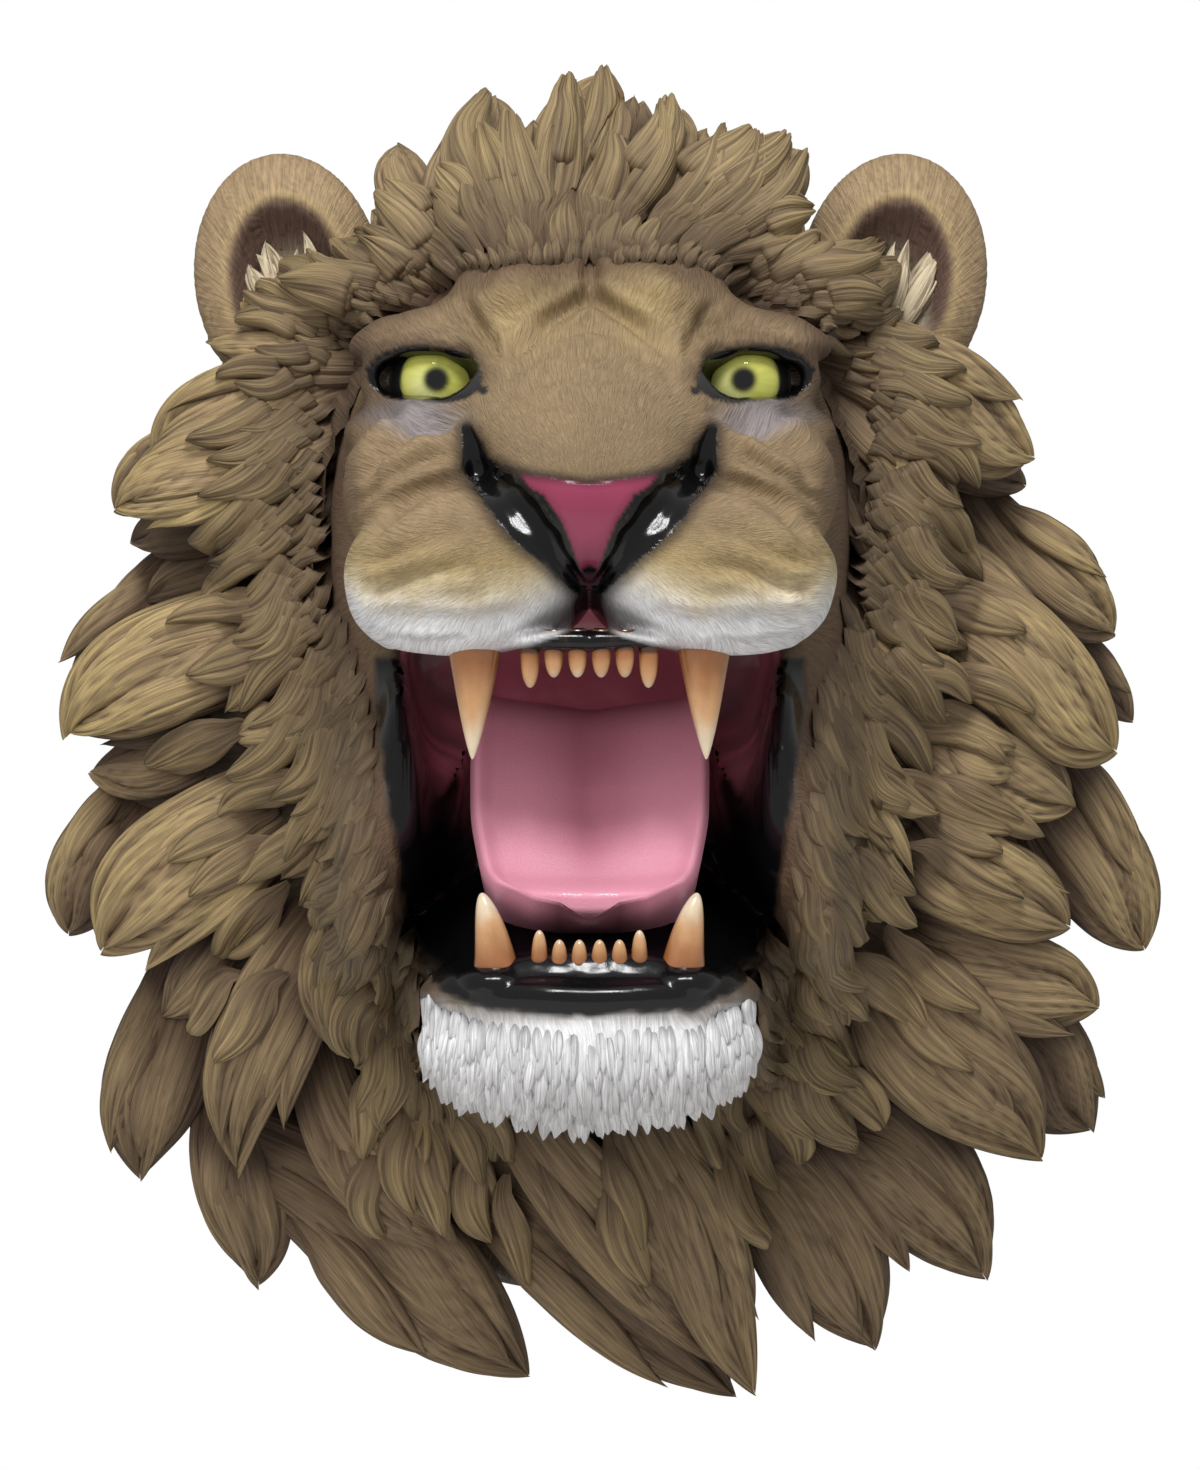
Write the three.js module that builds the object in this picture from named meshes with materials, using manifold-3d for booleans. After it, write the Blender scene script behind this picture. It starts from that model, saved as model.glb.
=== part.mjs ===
// A roaring lion's head to hang on a wall: one painted resin casting of mane, ears, face and open
// jaws with a flat back, two glass eyes, a tongue and the teeth set into the gums.
// Millimetres, +Z up, +X to the viewer's right. The wall is the plane Y = 0 and the lion looks
// along -Y. The origin is the middle of the flat back. Every place is given as across (x),
// depth out from the wall, and height (z).
import * as THREE from "three";
import { mergeVertices } from "three/addons/utils/BufferGeometryUtils.js";
import Module from "manifold-3d";

const wasm = await Module();
wasm.setup();

// Driving dimensions. The free forms below are carved for CARVED_HEIGHT and drawn out to
// MASK_HEIGHT; only the fit of the pieces set into the casting keeps its own size.
const MASK_HEIGHT = 890; // lowest lock tip to the top of the crest
const FIT_GAP = 0.3; // clearance round each piece that is set into the casting
const CARVED_HEIGHT = 890;
const SHARE = MASK_HEIGHT / CARVED_HEIGHT;

const MOUTH = {
  topFront: 48, // height of the palate at the lips
  topRise: 0.12, // palate's rise for each mm further in
  padDroop: 8, // how far the whisker pads hang below the palate
  padDepth: 24, // how far in from the lips they hang
  floorFront: -128, // height of the floor at the lower lip
  floorSlope: 0.8, // floor's rise for each mm further in
  lipDepth: 392,
  throatDepth: 222,
  halfWidthTop: 112,
  halfWidthBottom: 76,
  blend: 12,
};

const EYE_RADIUS = 29;
const EYE_SPACING = 184; // between the middles of the eyes
const EYE_HEIGHT = 211;
const EYE_DEPTH = 272;
const EYE_BACK = 0.48; // the glass is cut flat behind its middle, at this share of its radius
const EYE_TURN = 9; // degrees that each eye looks outwards

// Fangs stand in the gum behind the lips: lean is outwards and rake is forwards, at the tip.
const CANINE_ROOT = 14; // length hidden in the gum
const UPPER_CANINE = {
  x: 65,
  z: MOUTH.topFront + 4,
  depth: MOUTH.lipDepth - 6,
  length: 66,
  width: 32,
  lean: 1,
  rake: 6,
  narrowing: 0.8, // share of the width lost along the tooth, before its tip is rounded
  taper: 6, // a high power rounds only the very tip
};
const LOWER_CANINE = {
  x: 53,
  z: MOUTH.floorFront - 6,
  depth: MOUTH.lipDepth - 12,
  length: 44,
  width: 26,
  lean: 8,
  rake: -3,
  narrowing: 0.55,
  taper: 5,
};

// A row of incisors fills the space between two fangs, less a margin at each end.
const INCISORS_A_ROW = 6;
const OUTER_INCISOR = 1.25; // length of a row's outer teeth against the others
const INCISOR_FILL = 0.88; // width of a tooth against its pitch
const ROOT_BAR = 8; // side of the bar in the gum that joins a row of incisors
const ROW_SWEEP = 0.0035; // how fast a row curves back from its middle, per mm
const UPPER_ROW = { fang: UPPER_CANINE, margin: 9, length: 23, below: -3, ahead: 14 };
const LOWER_ROW = { fang: LOWER_CANINE, margin: 6, length: 21, below: 3, ahead: 8 };

const TONGUE_WIDTH = 142;
const TONGUE_THICKNESS = 20;
const TONGUE_DISH = 9; // how far the tongue's edges rise above its middle
const TONGUE_GROOVE = 4;

const at = (x, depth, z) => new THREE.Vector3(x, -depth, z);
const lerp = THREE.MathUtils.lerp;
const radians = THREE.MathUtils.degToRad;

// Solids and meshes

function solidOf(geometry) {
  const bare = geometry.clone().scale(SHARE, SHARE, SHARE);
  bare.deleteAttribute("normal");
  bare.deleteAttribute("uv");
  const merged = mergeVertices(bare, 1e-3);
  return new wasm.Manifold(
    new wasm.Mesh({
      numProp: 3,
      vertProperties: new Float32Array(merged.attributes.position.array),
      triVerts: new Uint32Array(merged.index.array),
    }),
  );
}

function geometryOf(solid) {
  const mesh = solid.getMesh();
  const geometry = new THREE.BufferGeometry();
  geometry.setAttribute("position", new THREE.BufferAttribute(mesh.vertProperties, 3));
  geometry.setIndex(new THREE.BufferAttribute(mesh.triVerts, 1));
  geometry.computeVertexNormals();
  return geometry;
}

function joined(solids) {
  let row = solids;
  while (row.length > 1) {
    const next = [];
    for (let i = 0; i < row.length; i += 2)
      next.push(i + 1 < row.length ? row[i].add(row[i + 1]) : row[i]);
    row = next;
  }
  return row[0];
}

// The solid without the pockets that its parts close off between them.
function filled(solid) {
  const mesh = solid.getMesh();
  const { vertProperties, triVerts } = mesh;
  const owner = Int32Array.from({ length: vertProperties.length / 3 }, (_, i) => i);
  const find = (i) => {
    while (owner[i] !== i) i = owner[i] = owner[owner[i]];
    return i;
  };
  for (let t = 0; t < triVerts.length; t += 3) {
    owner[find(triVerts[t])] = find(triVerts[t + 1]);
    owner[find(triVerts[t + 1])] = find(triVerts[t + 2]);
  }
  const skins = new Map();
  for (let t = 0; t < triVerts.length; t += 3) {
    const key = find(triVerts[t]);
    if (!skins.has(key)) skins.set(key, []);
    skins.get(key).push(triVerts[t], triVerts[t + 1], triVerts[t + 2]);
  }
  const corner = (i) => new THREE.Vector3().fromArray(vertProperties, i * 3);
  const volume = (skin) => {
    let sum = 0;
    for (let t = 0; t < skin.length; t += 3)
      sum += corner(skin[t]).dot(corner(skin[t + 1]).cross(corner(skin[t + 2])));
    return sum;
  };
  const outward = [...skins.values()].filter((skin) => volume(skin) > 0).flat();
  return new wasm.Manifold(
    new wasm.Mesh({ numProp: 3, vertProperties, triVerts: new Uint32Array(outward) }),
  );
}

// A closed skin through rings of points, each ring wound the same way, with both ends capped.
function loft(rings) {
  const count = rings[0].length;
  const points = rings.flat();
  const triangles = [];
  for (let r = 0; r + 1 < rings.length; r++)
    for (let i = 0; i < count; i++) {
      const a = r * count + i;
      const b = r * count + ((i + 1) % count);
      triangles.push(a, b, b + count, a, b + count, a + count);
    }
  const last = (rings.length - 1) * count;
  const middle = (ring) =>
    ring.reduce((sum, p) => sum.add(p), new THREE.Vector3()).divideScalar(count);
  points.push(middle(rings[0]), middle(rings[rings.length - 1]));
  for (let i = 0; i < count; i++) {
    const j = (i + 1) % count;
    triangles.push(points.length - 2, j, i);
    triangles.push(points.length - 1, last + i, last + j);
  }
  const geometry = new THREE.BufferGeometry().setFromPoints(points);
  geometry.setIndex(triangles);
  const solid = solidOf(geometry);
  if (solid.volume() > 0) return solid;
  const flipped = geometry.clone();
  flipped.setIndex(triangles.slice().reverse());
  return solidOf(flipped);
}

// The head is one smooth field: rounded masses run together, then hollows are carved out of it.
// Each mass is an ellipsoid: middle [x, depth, z], half sizes, a turn in degrees about the
// across, depth and upright axes, and the radius of the fillet that blends it in. Masses off the
// middle are mirrored. The muzzle and the jaw take their depth from the lips.

const LIPS = MOUTH.lipDepth;
const MASSES = [
  { name: "skull", at: [0, 120, 195], half: [166, 178, 132], blend: 1 },
  { name: "neck", at: [0, 100, -60], half: [175, 120, 205], blend: 40 },
  { name: "cheek bone", at: [106, 190, 130], half: [56, 110, 100], blend: 25 },
  { name: "brow knot", at: [45, 266, 257], half: [40, 42, 37], blend: 12 },
  { name: "brow ridge", at: [96, 262, 240], half: [50, 40, 17], turn: [0, 8, 0], blend: 14 },
  { name: "under the eye", at: [102, 262, 182], half: [46, 42, 20], blend: 14 },
  { name: "middle of the brow", at: [0, 196, 262], half: [80, 92, 56], blend: 22 },
  { name: "bridge", at: [0, LIPS - 50, 182], half: [62, 104, 40], turn: [-30, 0, 0], blend: 28 },
  { name: "nose block", at: [0, LIPS - 6, 126], half: [55, 46, 42], blend: 18 },
  { name: "snarling cheek", at: [92, LIPS - 86, 142], half: [54, 64, 50], blend: 18 },
  { name: "whisker pad", at: [68, LIPS - 42, 92], half: [74, 76, 50], blend: 12 },
  { name: "bottom of the pad", at: [74, LIPS - 22, 74], half: [60, 44, 31], blend: 12 },
  { name: "jaw branch", at: [112, LIPS - 122, -30], half: [26, 62, 112], turn: [28, -12, 0], blend: 20 },
  { name: "jaw root", at: [118, 190, 0], half: [45, 90, 120], blend: 30 },
  { name: "chin", at: [0, LIPS - 54, -180], half: [100, 68, 44], blend: 18 },
  { name: "lower lip", at: [0, LIPS - 42, -149], half: [98, 54, 24], blend: 10 },
  { name: "underjaw", at: [0, 215, -150], half: [112, 130, 66], turn: [12, 0, 0], blend: 30 },
];
// Masses and hollows outside that field: facets is how many they have round and down.
const EAR = { at: [192, 160, 289], half: [60, 34, 81], turn: [0, 8, 0], facets: [13, 9] };
const EAR_HOLLOW = { at: [190, 204, 283], half: [36, 44, 54], turn: [0, 8, 0], facets: [10, 7] };
const EYE_OPENING = {
  at: [EYE_SPACING / 2 + 1, EYE_DEPTH + 46, EYE_HEIGHT],
  half: [EYE_RADIUS + 3, EYE_RADIUS + 5, EYE_RADIUS - 12],
  turn: [0, -4, 0],
  facets: [14, 6],
};
const NOSTRIL = { at: [29, LIPS + 34, 104], half: [15, 14, 22], turn: [0, 28, 0], facets: [8, 6] };
const NOSTRIL_WING = { at: [56, LIPS + 12, 148], half: [8, 18, 28], turn: [0, -24, 0], facets: [8, 6] };
const LIP_CLEFT = { at: [0, LIPS + 32, 62], half: [6, 16, 26], facets: [8, 6] };

const turned = (a, b, angle) => [
  a * Math.cos(angle) - b * Math.sin(angle),
  a * Math.sin(angle) + b * Math.cos(angle),
];

function ellipsoid(mass, x, depth, z) {
  let px = x - mass.at[0];
  let pd = depth - mass.at[1];
  let pz = z - mass.at[2];
  const [pitch, roll, yaw] = (mass.turn || [0, 0, 0]).map(radians);
  [pd, pz] = turned(pd, pz, -pitch);
  [px, pz] = turned(px, pz, roll);
  [px, pd] = turned(px, pd, yaw);
  const [a, b, c] = mass.half;
  const near = Math.hypot(px / a, pd / b, pz / c);
  const slope = Math.hypot(px / (a * a), pd / (b * b), pz / (c * c));
  return slope < 1e-9 ? -Math.min(a, b, c) : (near * (near - 1)) / slope;
}

function blendUnion(a, b, radius) {
  const h = Math.max(radius - Math.abs(a - b), 0) / radius;
  return Math.min(a, b) - (h * h * radius) / 4;
}

const blendCut = (a, b, radius) => -blendUnion(-a, b, radius);

const mouthFloor = (depth) => MOUTH.floorFront + MOUTH.floorSlope * (MOUTH.lipDepth - depth);

function mouthHollow(x, depth, z) {
  const inward = MOUTH.lipDepth - depth;
  const hang = MOUTH.padDroop * (1 - THREE.MathUtils.smoothstep(inward, 4, MOUTH.padDepth));
  const top = MOUTH.topFront + MOUTH.topRise * Math.max(inward, 0) - hang;
  const floor = mouthFloor(depth);
  const down = (MOUTH.topFront - z) / (MOUTH.topFront - MOUTH.floorFront);
  const half = lerp(MOUTH.halfWidthTop, MOUTH.halfWidthBottom, THREE.MathUtils.clamp(down, 0, 1));
  let wall = -blendUnion(-(z - top), -(floor - z), MOUTH.blend);
  wall = -blendUnion(-wall, half - x, MOUTH.blend * 2);
  return -blendUnion(-wall, depth - MOUTH.throatDepth, MOUTH.blend * 2);
}

const HEAD_BACK = 60; // the head ends this far from the wall, inside the body of the mane

// Distance to the head's skin, below zero inside, for a point of the full-height proportions.
function head(x, depth, z) {
  const side = Math.abs(x);
  let d = ellipsoid(MASSES[0], side, depth, z);
  for (const mass of MASSES.slice(1)) d = blendUnion(d, ellipsoid(mass, side, depth, z), mass.blend);
  return blendCut(d, mouthHollow(side, depth, z), MOUTH.blend);
}

// How far from the wall the head's skin is, seen from the front at a point across and up.
const BEYOND_NOSE = LIPS + 78; // a depth in front of the whole head
const SKIN_FIT = 0.2;

function skinDepth(x, z) {
  let depth = BEYOND_NOSE;
  while (depth > HEAD_BACK) {
    const gap = head(x, depth, z);
    if (gap < SKIN_FIT) return depth;
    depth -= Math.max(gap * 0.7, 0.5);
  }
  return HEAD_BACK;
}

// The face is a skin of rings that open out from the mouth to the line where the mane begins.
const MOUTH_MIDDLE = -42;
const FACE_EDGE = [
  { z: 296, half: 70 },
  { z: 268, half: 130 },
  { z: 190, half: 172 },
  { z: 60, half: 164 },
  { z: -60, half: 152 },
  { z: -150, half: 132 },
  { z: -212, half: 100 },
  { z: -232, half: 45 },
];
const FACE_UP_STEPS = 36; // spokes in the upper half, where the eyes and the nose are
const FACE_DOWN_STEPS = 16;
const MOUTH_RINGS = [0.5, 0.96]; // shares of the way to the lips
const FACE_RINGS = 11;
const LIP_WIDTH = 26;
const LIP_RISE = 5; // the rolled lip of the lower jaw
const LIP_FADE = 0.45; // the roll fades out where the jaw turns up by this sine

// Distance from the middle of the mouth to a border along a direction, where inside() is true.
function reachOf(inside, direction) {
  let reach = 0;
  const holds = (r) => inside(direction.x * r, MOUTH_MIDDLE + direction.y * r);
  for (let step = 64; step > 0.05; step /= 2) while (holds(reach + step)) reach += step;
  return reach;
}

function insideMouth(x, z) {
  return mouthHollow(Math.abs(x), MOUTH.lipDepth, z) < 0;
}

const faceBorder = [
  ...FACE_EDGE.map(({ z, half }) => new THREE.Vector3(half, z, 0)),
  ...FACE_EDGE.map(({ z, half }) => new THREE.Vector3(-half, z, 0)).reverse(),
];
const faceOutline = new THREE.CatmullRomCurve3(faceBorder, true, "centripetal").getPoints(160);

function insideFace(x, z) {
  let inside = false;
  for (let i = 0, j = faceOutline.length - 1; i < faceOutline.length; j = i++) {
    const a = faceOutline[i];
    const b = faceOutline[j];
    if (a.y > z !== b.y > z && x < ((b.x - a.x) * (z - a.y)) / (b.y - a.y) + a.x) inside = !inside;
  }
  return inside;
}

function faceSolid() {
  const angles = [];
  for (let i = 0; i < FACE_UP_STEPS; i++) angles.push((i / FACE_UP_STEPS) * Math.PI);
  for (let i = 0; i < FACE_DOWN_STEPS; i++) angles.push(Math.PI + (i / FACE_DOWN_STEPS) * Math.PI);
  const spokes = angles.map((angle) => {
    const direction = new THREE.Vector2(Math.cos(angle), Math.sin(angle));
    const lips = reachOf(insideMouth, direction);
    const edge = reachOf(insideFace, direction);
    const lower = THREE.MathUtils.smoothstep(-Math.sin(angle), -LIP_FADE, 0);
    const stops = MOUTH_RINGS.map((share) => [lips * share, 0]);
    stops.push([lips + 1, 0], [lips + LIP_WIDTH / 2, LIP_RISE * lower], [lips + LIP_WIDTH, 0]);
    const start = lips + LIP_WIDTH;
    for (let i = 1; i <= FACE_RINGS; i++) stops.push([lerp(start, edge, i / FACE_RINGS), 0]);
    const points = stops.map(([reach, rise]) => {
      const x = direction.x * reach;
      const z = MOUTH_MIDDLE + direction.y * reach;
      return at(x, skinDepth(x, z) + rise, z);
    });
    const rim = points[points.length - 1];
    points.push(at(rim.x, HEAD_BACK - 5, rim.z));
    return points;
  });
  return loft(spokes[0].map((_, ring) => spokes.map((points) => points[ring])));
}

// Rounded masses and hollows outside the face skin: the ears, the eye openings, the nostrils and
// the cleft of the upper lip.
function massSolid(mass, side) {
  const ball = new THREE.SphereGeometry(1, mass.facets[0], mass.facets[1]);
  const [pitch, roll, yaw] = (mass.turn || [0, 0, 0]).map(radians);
  ball.scale(mass.half[0], mass.half[1], mass.half[2]);
  ball.rotateZ(yaw * side);
  ball.rotateY(roll * side);
  ball.rotateX(-pitch);
  const place = at(mass.at[0] * side, mass.at[1], mass.at[2]);
  ball.translate(place.x, place.y, place.z);
  return solidOf(ball);
}

// The mane, in rows from the crest to the wall. Every lock of a row starts and ends at the same
// depth. A lock is [root across, root height, tip across, tip height, width, bow]: the bow pushes
// its line sideways by that share of its length, to the left of the way it grows when positive.
const MANE = [
  {
    row: "crest, back row",
    rootDepth: 215,
    tipDepth: 125,
    locks: [
      [-105, 310, -125, 385, 38, 0.04],
      [-85, 290, -60, 420, 54, 0.04],
      [-20, 290, 15, 434, 60, 0.1],
      [5, 290, 30, 420, 40, 0.06],
      [20, 300, 35, 415, 40, 0.06],
      [60, 300, 110, 390, 54, 0.08],
    ],
  },
  {
    row: "crest, front row",
    rootDepth: 250,
    tipDepth: 182,
    locks: [
      [-90, 285, -140, 330, 38, -0.02],
      [-70, 285, -55, 380, 34, 0.12],
      [-45, 290, -35, 390, 38, 0.08],
      [30, 290, 60, 400, 46, 0.08],
      [45, 290, 75, 385, 38, 0.08],
      [65, 285, 135, 370, 58, 0.1],
      [80, 275, 135, 325, 40, 0.06],
      [105, 265, 185, 290, 44, -0.04],
      [-100, 270, -185, 295, 40, 0.02],
    ],
  },
  {
    row: "over the temples",
    rootDepth: 215,
    tipDepth: 150,
    locks: [
      [-140, 240, -250, 250, 62, -0.06],
      [-155, 225, -285, 180, 50, -0.08],
      [-165, 185, -310, 140, 60, -0.04],
      [155, 240, 290, 175, 74, 0],
    ],
  },
  {
    row: "round the face",
    rootDepth: 225,
    tipDepth: 175,
    locks: [
      [-155, 190, -235, 135, 36, 0],
      [-165, 150, -225, 100, 32, 0.04],
      [-165, 100, -235, 10, 40, 0.04],
      [-150, 60, -225, -30, 40, 0.08],
      [-135, 10, -200, -95, 44, 0.08],
      [-120, -85, -165, -200, 50, -0.14],
      [155, 210, 240, 135, 36, -0.04],
      [165, 165, 225, 65, 44, -0.06],
      [160, 95, 225, 25, 40, -0.06],
      [150, 0, 200, -125, 44, -0.08],
      [125, -85, 160, -180, 38, -0.04],
    ],
  },
  {
    row: "front of the mane",
    rootDepth: 175,
    tipDepth: 100,
    locks: [
      [-175, 80, -350, -10, 80, -0.08],
      [-170, -30, -325, -150, 84, -0.08],
      [-150, -100, -230, -300, 64, -0.14],
      [175, 210, 290, 160, 48, -0.04],
      [215, 125, 320, 30, 40, 0.04],
      [210, 85, 350, -15, 80, 0.04],
      [195, 10, 320, -50, 62, -0.04],
      [180, -50, 320, -130, 66, -0.04],
      [-130, -170, -135, -275, 30, -0.02],
      [95, -185, 180, -280, 40, 0.04],
    ],
  },
  {
    row: "middle of the mane",
    rootDepth: 138,
    tipDepth: 70,
    locks: [
      [-185, 225, -255, 230, 50, -0.02],
      [-220, 200, -320, 145, 56, -0.04],
      [-230, 140, -310, 125, 42, -0.02],
      [-205, 120, -300, 85, 40, -0.06],
      [-205, 10, -340, -25, 48, 0.06],
      [-215, -10, -315, -40, 36, 0.04],
      [-230, -125, -290, -190, 38, 0.04],
      [200, 250, 270, 210, 44, 0],
      [245, 160, 355, 60, 64, -0.08],
      [175, -115, 345, -185, 72, -0.04],
      [170, -135, 305, -290, 90, -0.02],
      [-170, -215, -80, -355, 60, -0.12],
      [-110, -195, -55, -335, 38, -0.06],
      [-50, -235, 95, -430, 58, -0.02],
      [15, -220, 115, -450, 60, 0.02],
    ],
  },
  {
    row: "against the wall",
    rootDepth: 84,
    tipDepth: 28,
    locks: [
      [-260, 120, -360, 20, 60, 0.05],
      [-290, -25, -355, -145, 64, -0.06],
      [-265, -145, -305, -308, 76, -0.03],
      [-235, -230, -225, -382, 66, -0.02],
      [300, 80, 370, 5, 44, -0.06],
      [285, 10, 378, -152, 80, -0.04],
      [230, -175, 345, -275, 82, 0.1],
      [-220, -285, -32, -442, 98, 0.06],
      [-100, -295, 105, -455, 84, 0.08],
      [75, -275, 197, -427, 82, 0.15],
      [120, -240, 272, -377, 88, 0.17],
    ],
  },
];
const LOCK_THICKNESS = 0.56; // share of a lock's width
const LOCK_OUTWARD = 0.45; // how far a lock's face turns away from straight ahead
const LOCK_SINK = 30; // how far a lock's root is let into what lies behind it
const LOCK_TUCK = 0.1; // share of its length that a lock goes on under its neighbours
const LOCK_STATIONS = [0, 0.3, 0.6, 0.86];
const SMALL_LOCK = 46; // locks narrower than this have one station fewer
const SMALL_STATIONS = [0, 0.4, 0.78];
const LOCK_END = 0.995; // the last station, just short of a sharp point
const LOCK_SECTION = [0, 90, 180, 270]; // degrees round a lock, 90 facing out
const LOCK_ROOT = 0.78; // width at the root against the fullest width
const LOCK_FULLEST = 0.45; // share of the length where a lock is widest
const LOCK_LIFT = 0.12; // how far a lock's back arches, against its width
const LOCK_FALL = [0.3, 0.62]; // how much of its drop a lock has made a third and two thirds along

// A lock's half width at a share of its length: it swells from the root, then runs to a tip.
function lockSwell(share) {
  const grown = Math.sin((Math.min(share / LOCK_FULLEST, 1) * Math.PI) / 2);
  const past = Math.max(share - LOCK_FULLEST, 0) / (1 - LOCK_FULLEST);
  return 0.5 * lerp(LOCK_ROOT, 1, grown) * (1 - past ** 3);
}

function lockSolid({ rootDepth, tipDepth }, [rootX, rootZ, tipX, tipZ, width, bow]) {
  const along = new THREE.Vector2(tipX - rootX, tipZ - rootZ);
  const left = new THREE.Vector2(-along.y, along.x);
  const place = (share, push, depth) =>
    at(rootX + along.x * share + left.x * push, depth, rootZ + along.y * share + left.y * push);
  const arched = (fall) => lerp(rootDepth, tipDepth, fall) + width * LOCK_LIFT;
  const line = new THREE.CubicBezierCurve3(
    place(-LOCK_TUCK, 0, rootDepth - LOCK_SINK),
    place(1 / 3, bow, arched(LOCK_FALL[0])),
    place(2 / 3, bow, arched(LOCK_FALL[1])),
    place(1, 0, tipDepth),
  );
  const ring = (share) => {
    const middle = line.getPoint(share);
    const tangent = line.getTangent(share);
    const radial = new THREE.Vector3(middle.x, 0, middle.z).normalize();
    const facing = new THREE.Vector3(0, -1, 0).addScaledVector(radial, LOCK_OUTWARD);
    const across = new THREE.Vector3().crossVectors(tangent, facing).normalize();
    const outward = new THREE.Vector3().crossVectors(across, tangent);
    const half = width * lockSwell(share);
    return LOCK_SECTION.map((degrees) => {
      const rise = Math.sin(radians(degrees)) * half * LOCK_THICKNESS;
      return middle
        .clone()
        .addScaledVector(across, Math.cos(radians(degrees)) * half)
        .addScaledVector(outward, rise);
    });
  };
  const stations = width < SMALL_LOCK ? SMALL_STATIONS : LOCK_STATIONS;
  return loft([...stations, LOCK_END].map(ring));
}

// The body of the mane under its locks: an outline for each depth out from the wall, as the
// distance from the middle at the top, side, lower side and bottom.
const BODY_STEPS = [
  { depth: 0, top: 320, side: 305, low: 345, bottom: 385 },
  { depth: 40, top: 345, side: 320, low: 340, bottom: 375 },
  { depth: 85, top: 350, side: 290, low: 300, bottom: 310 },
  { depth: 130, top: 345, side: 248, low: 240, bottom: 235 },
  { depth: 175, top: 330, side: 208, low: 195, bottom: 180 },
  { depth: 220, top: 300, side: 168, low: 160, bottom: 130 },
];
const BODY_SIDES = 26;
const BODY_LOW = 0.6; // how far down the lower side is, as the sine of its angle

function bodyReach(step, up) {
  if (up > 0) return lerp(step.side, step.top, up ** 2);
  if (-up < BODY_LOW) return lerp(step.side, step.low, -up / BODY_LOW);
  return lerp(step.low, step.bottom, ((-up - BODY_LOW) / (1 - BODY_LOW)) ** 1.5);
}

function maneBody() {
  const ring = (step) =>
    Array.from({ length: BODY_SIDES }, (_, i) => {
      const angle = (i / BODY_SIDES) * 2 * Math.PI;
      const reach = bodyReach(step, Math.sin(angle));
      return at(reach * Math.cos(angle), step.depth, reach * Math.sin(angle));
    });
  return loft(BODY_STEPS.map(ring));
}

// Glass eyes, teeth and tongue. Each takes a gap, which grows it all round to cut its own seat.

const EYE_STEPS = 6;
const EYE_SIDES = 12;

function eyeSolid(side, gap) {
  const radius = EYE_RADIUS + gap;
  const back = EYE_RADIUS * EYE_BACK + gap;
  const start = -Math.asin(back / radius);
  const profile = [new THREE.Vector2(0, -back)];
  for (let i = 0; i < EYE_STEPS; i++) {
    const angle = lerp(start, Math.PI / 2, i / EYE_STEPS);
    profile.push(new THREE.Vector2(Math.cos(angle) * radius, Math.sin(angle) * radius));
  }
  profile.push(new THREE.Vector2(0, radius));
  const dome = new THREE.LatheGeometry(profile, EYE_SIDES);
  dome.rotateX(-Math.PI / 2);
  dome.rotateZ(radians(EYE_TURN) * side);
  const place = at((side * EYE_SPACING) / 2, EYE_DEPTH, EYE_HEIGHT);
  dome.translate(place.x, place.y, place.z);
  return solidOf(dome);
}

// A tooth along a gently curved line from its hidden root to its tip. It points up or down.
const CANINE_FORM = { root: CANINE_ROOT, stations: [0, 0.45, 0.78, 0.98], sides: 7 };
const INCISOR_FORM = { root: ROOT_BAR / 2, stations: [0, 0.76, 0.98], sides: 5 };
const TOOTH_FLATNESS = 0.85; // depth of a tooth against its width
const TOOTH_TIP = 0.06; // least width of a tooth's last ring against its full width

function toothSolid(tooth, form, up, gap) {
  const { x, z, depth, length, width, lean, rake, narrowing, taper } = tooth;
  const ring = (share) => {
    const run = lerp(-gap, length + form.root + gap, share) - form.root;
    const shown = THREE.MathUtils.clamp(run / length, 0, 1);
    const rounded = (1 - narrowing * shown) * Math.sqrt(1 - shown ** taper);
    const half = (width / 2) * Math.max(rounded, TOOTH_TIP) + gap;
    return Array.from({ length: form.sides }, (_, i) => {
      const angle = (i / form.sides) * 2 * Math.PI;
      return at(
        x + lean * shown ** 1.5 + Math.cos(angle) * half,
        depth + rake * shown ** 2 + Math.sin(angle) * half * TOOTH_FLATNESS,
        z + up * run,
      );
    });
  };
  return loft(form.stations.map(ring));
}

function canineSolid(canine, side, up, gap) {
  const tooth = { ...canine, x: side * canine.x, lean: side * canine.lean };
  return toothSolid(tooth, CANINE_FORM, up, gap);
}

function incisorRow({ fang, margin, length, below, ahead }, up, gap) {
  const pitch = (2 * fang.x - fang.width - 2 * margin) / INCISORS_A_ROW;
  const span = ((INCISORS_A_ROW - 1) / 2) * pitch;
  const z = fang.z - below;
  const depthAt = (x) => fang.depth + ahead - ROW_SWEEP * x * x;
  const parts = [];
  for (let i = 0; i < INCISORS_A_ROW; i++) {
    const x = i * pitch - span;
    const outer = i === 0 || i === INCISORS_A_ROW - 1;
    const tooth = {
      x,
      z,
      depth: depthAt(x),
      length: outer ? length * OUTER_INCISOR : length,
      width: pitch * INCISOR_FILL,
      lean: 0,
      rake: 0,
      narrowing: 0.1,
      taper: 4,
    };
    parts.push(toothSolid(tooth, INCISOR_FORM, up, gap));
  }
  const half = ROOT_BAR / 2 + gap;
  const bar = [-1, 0, 1].map((end) => {
    const x = end * (span + gap);
    const middle = depthAt(x);
    return [
      at(x, middle - half, z - half),
      at(x, middle + half, z - half),
      at(x, middle + half, z + half),
      at(x, middle - half, z + half),
    ];
  });
  return joined([...parts, loft(bar)]);
}

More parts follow.
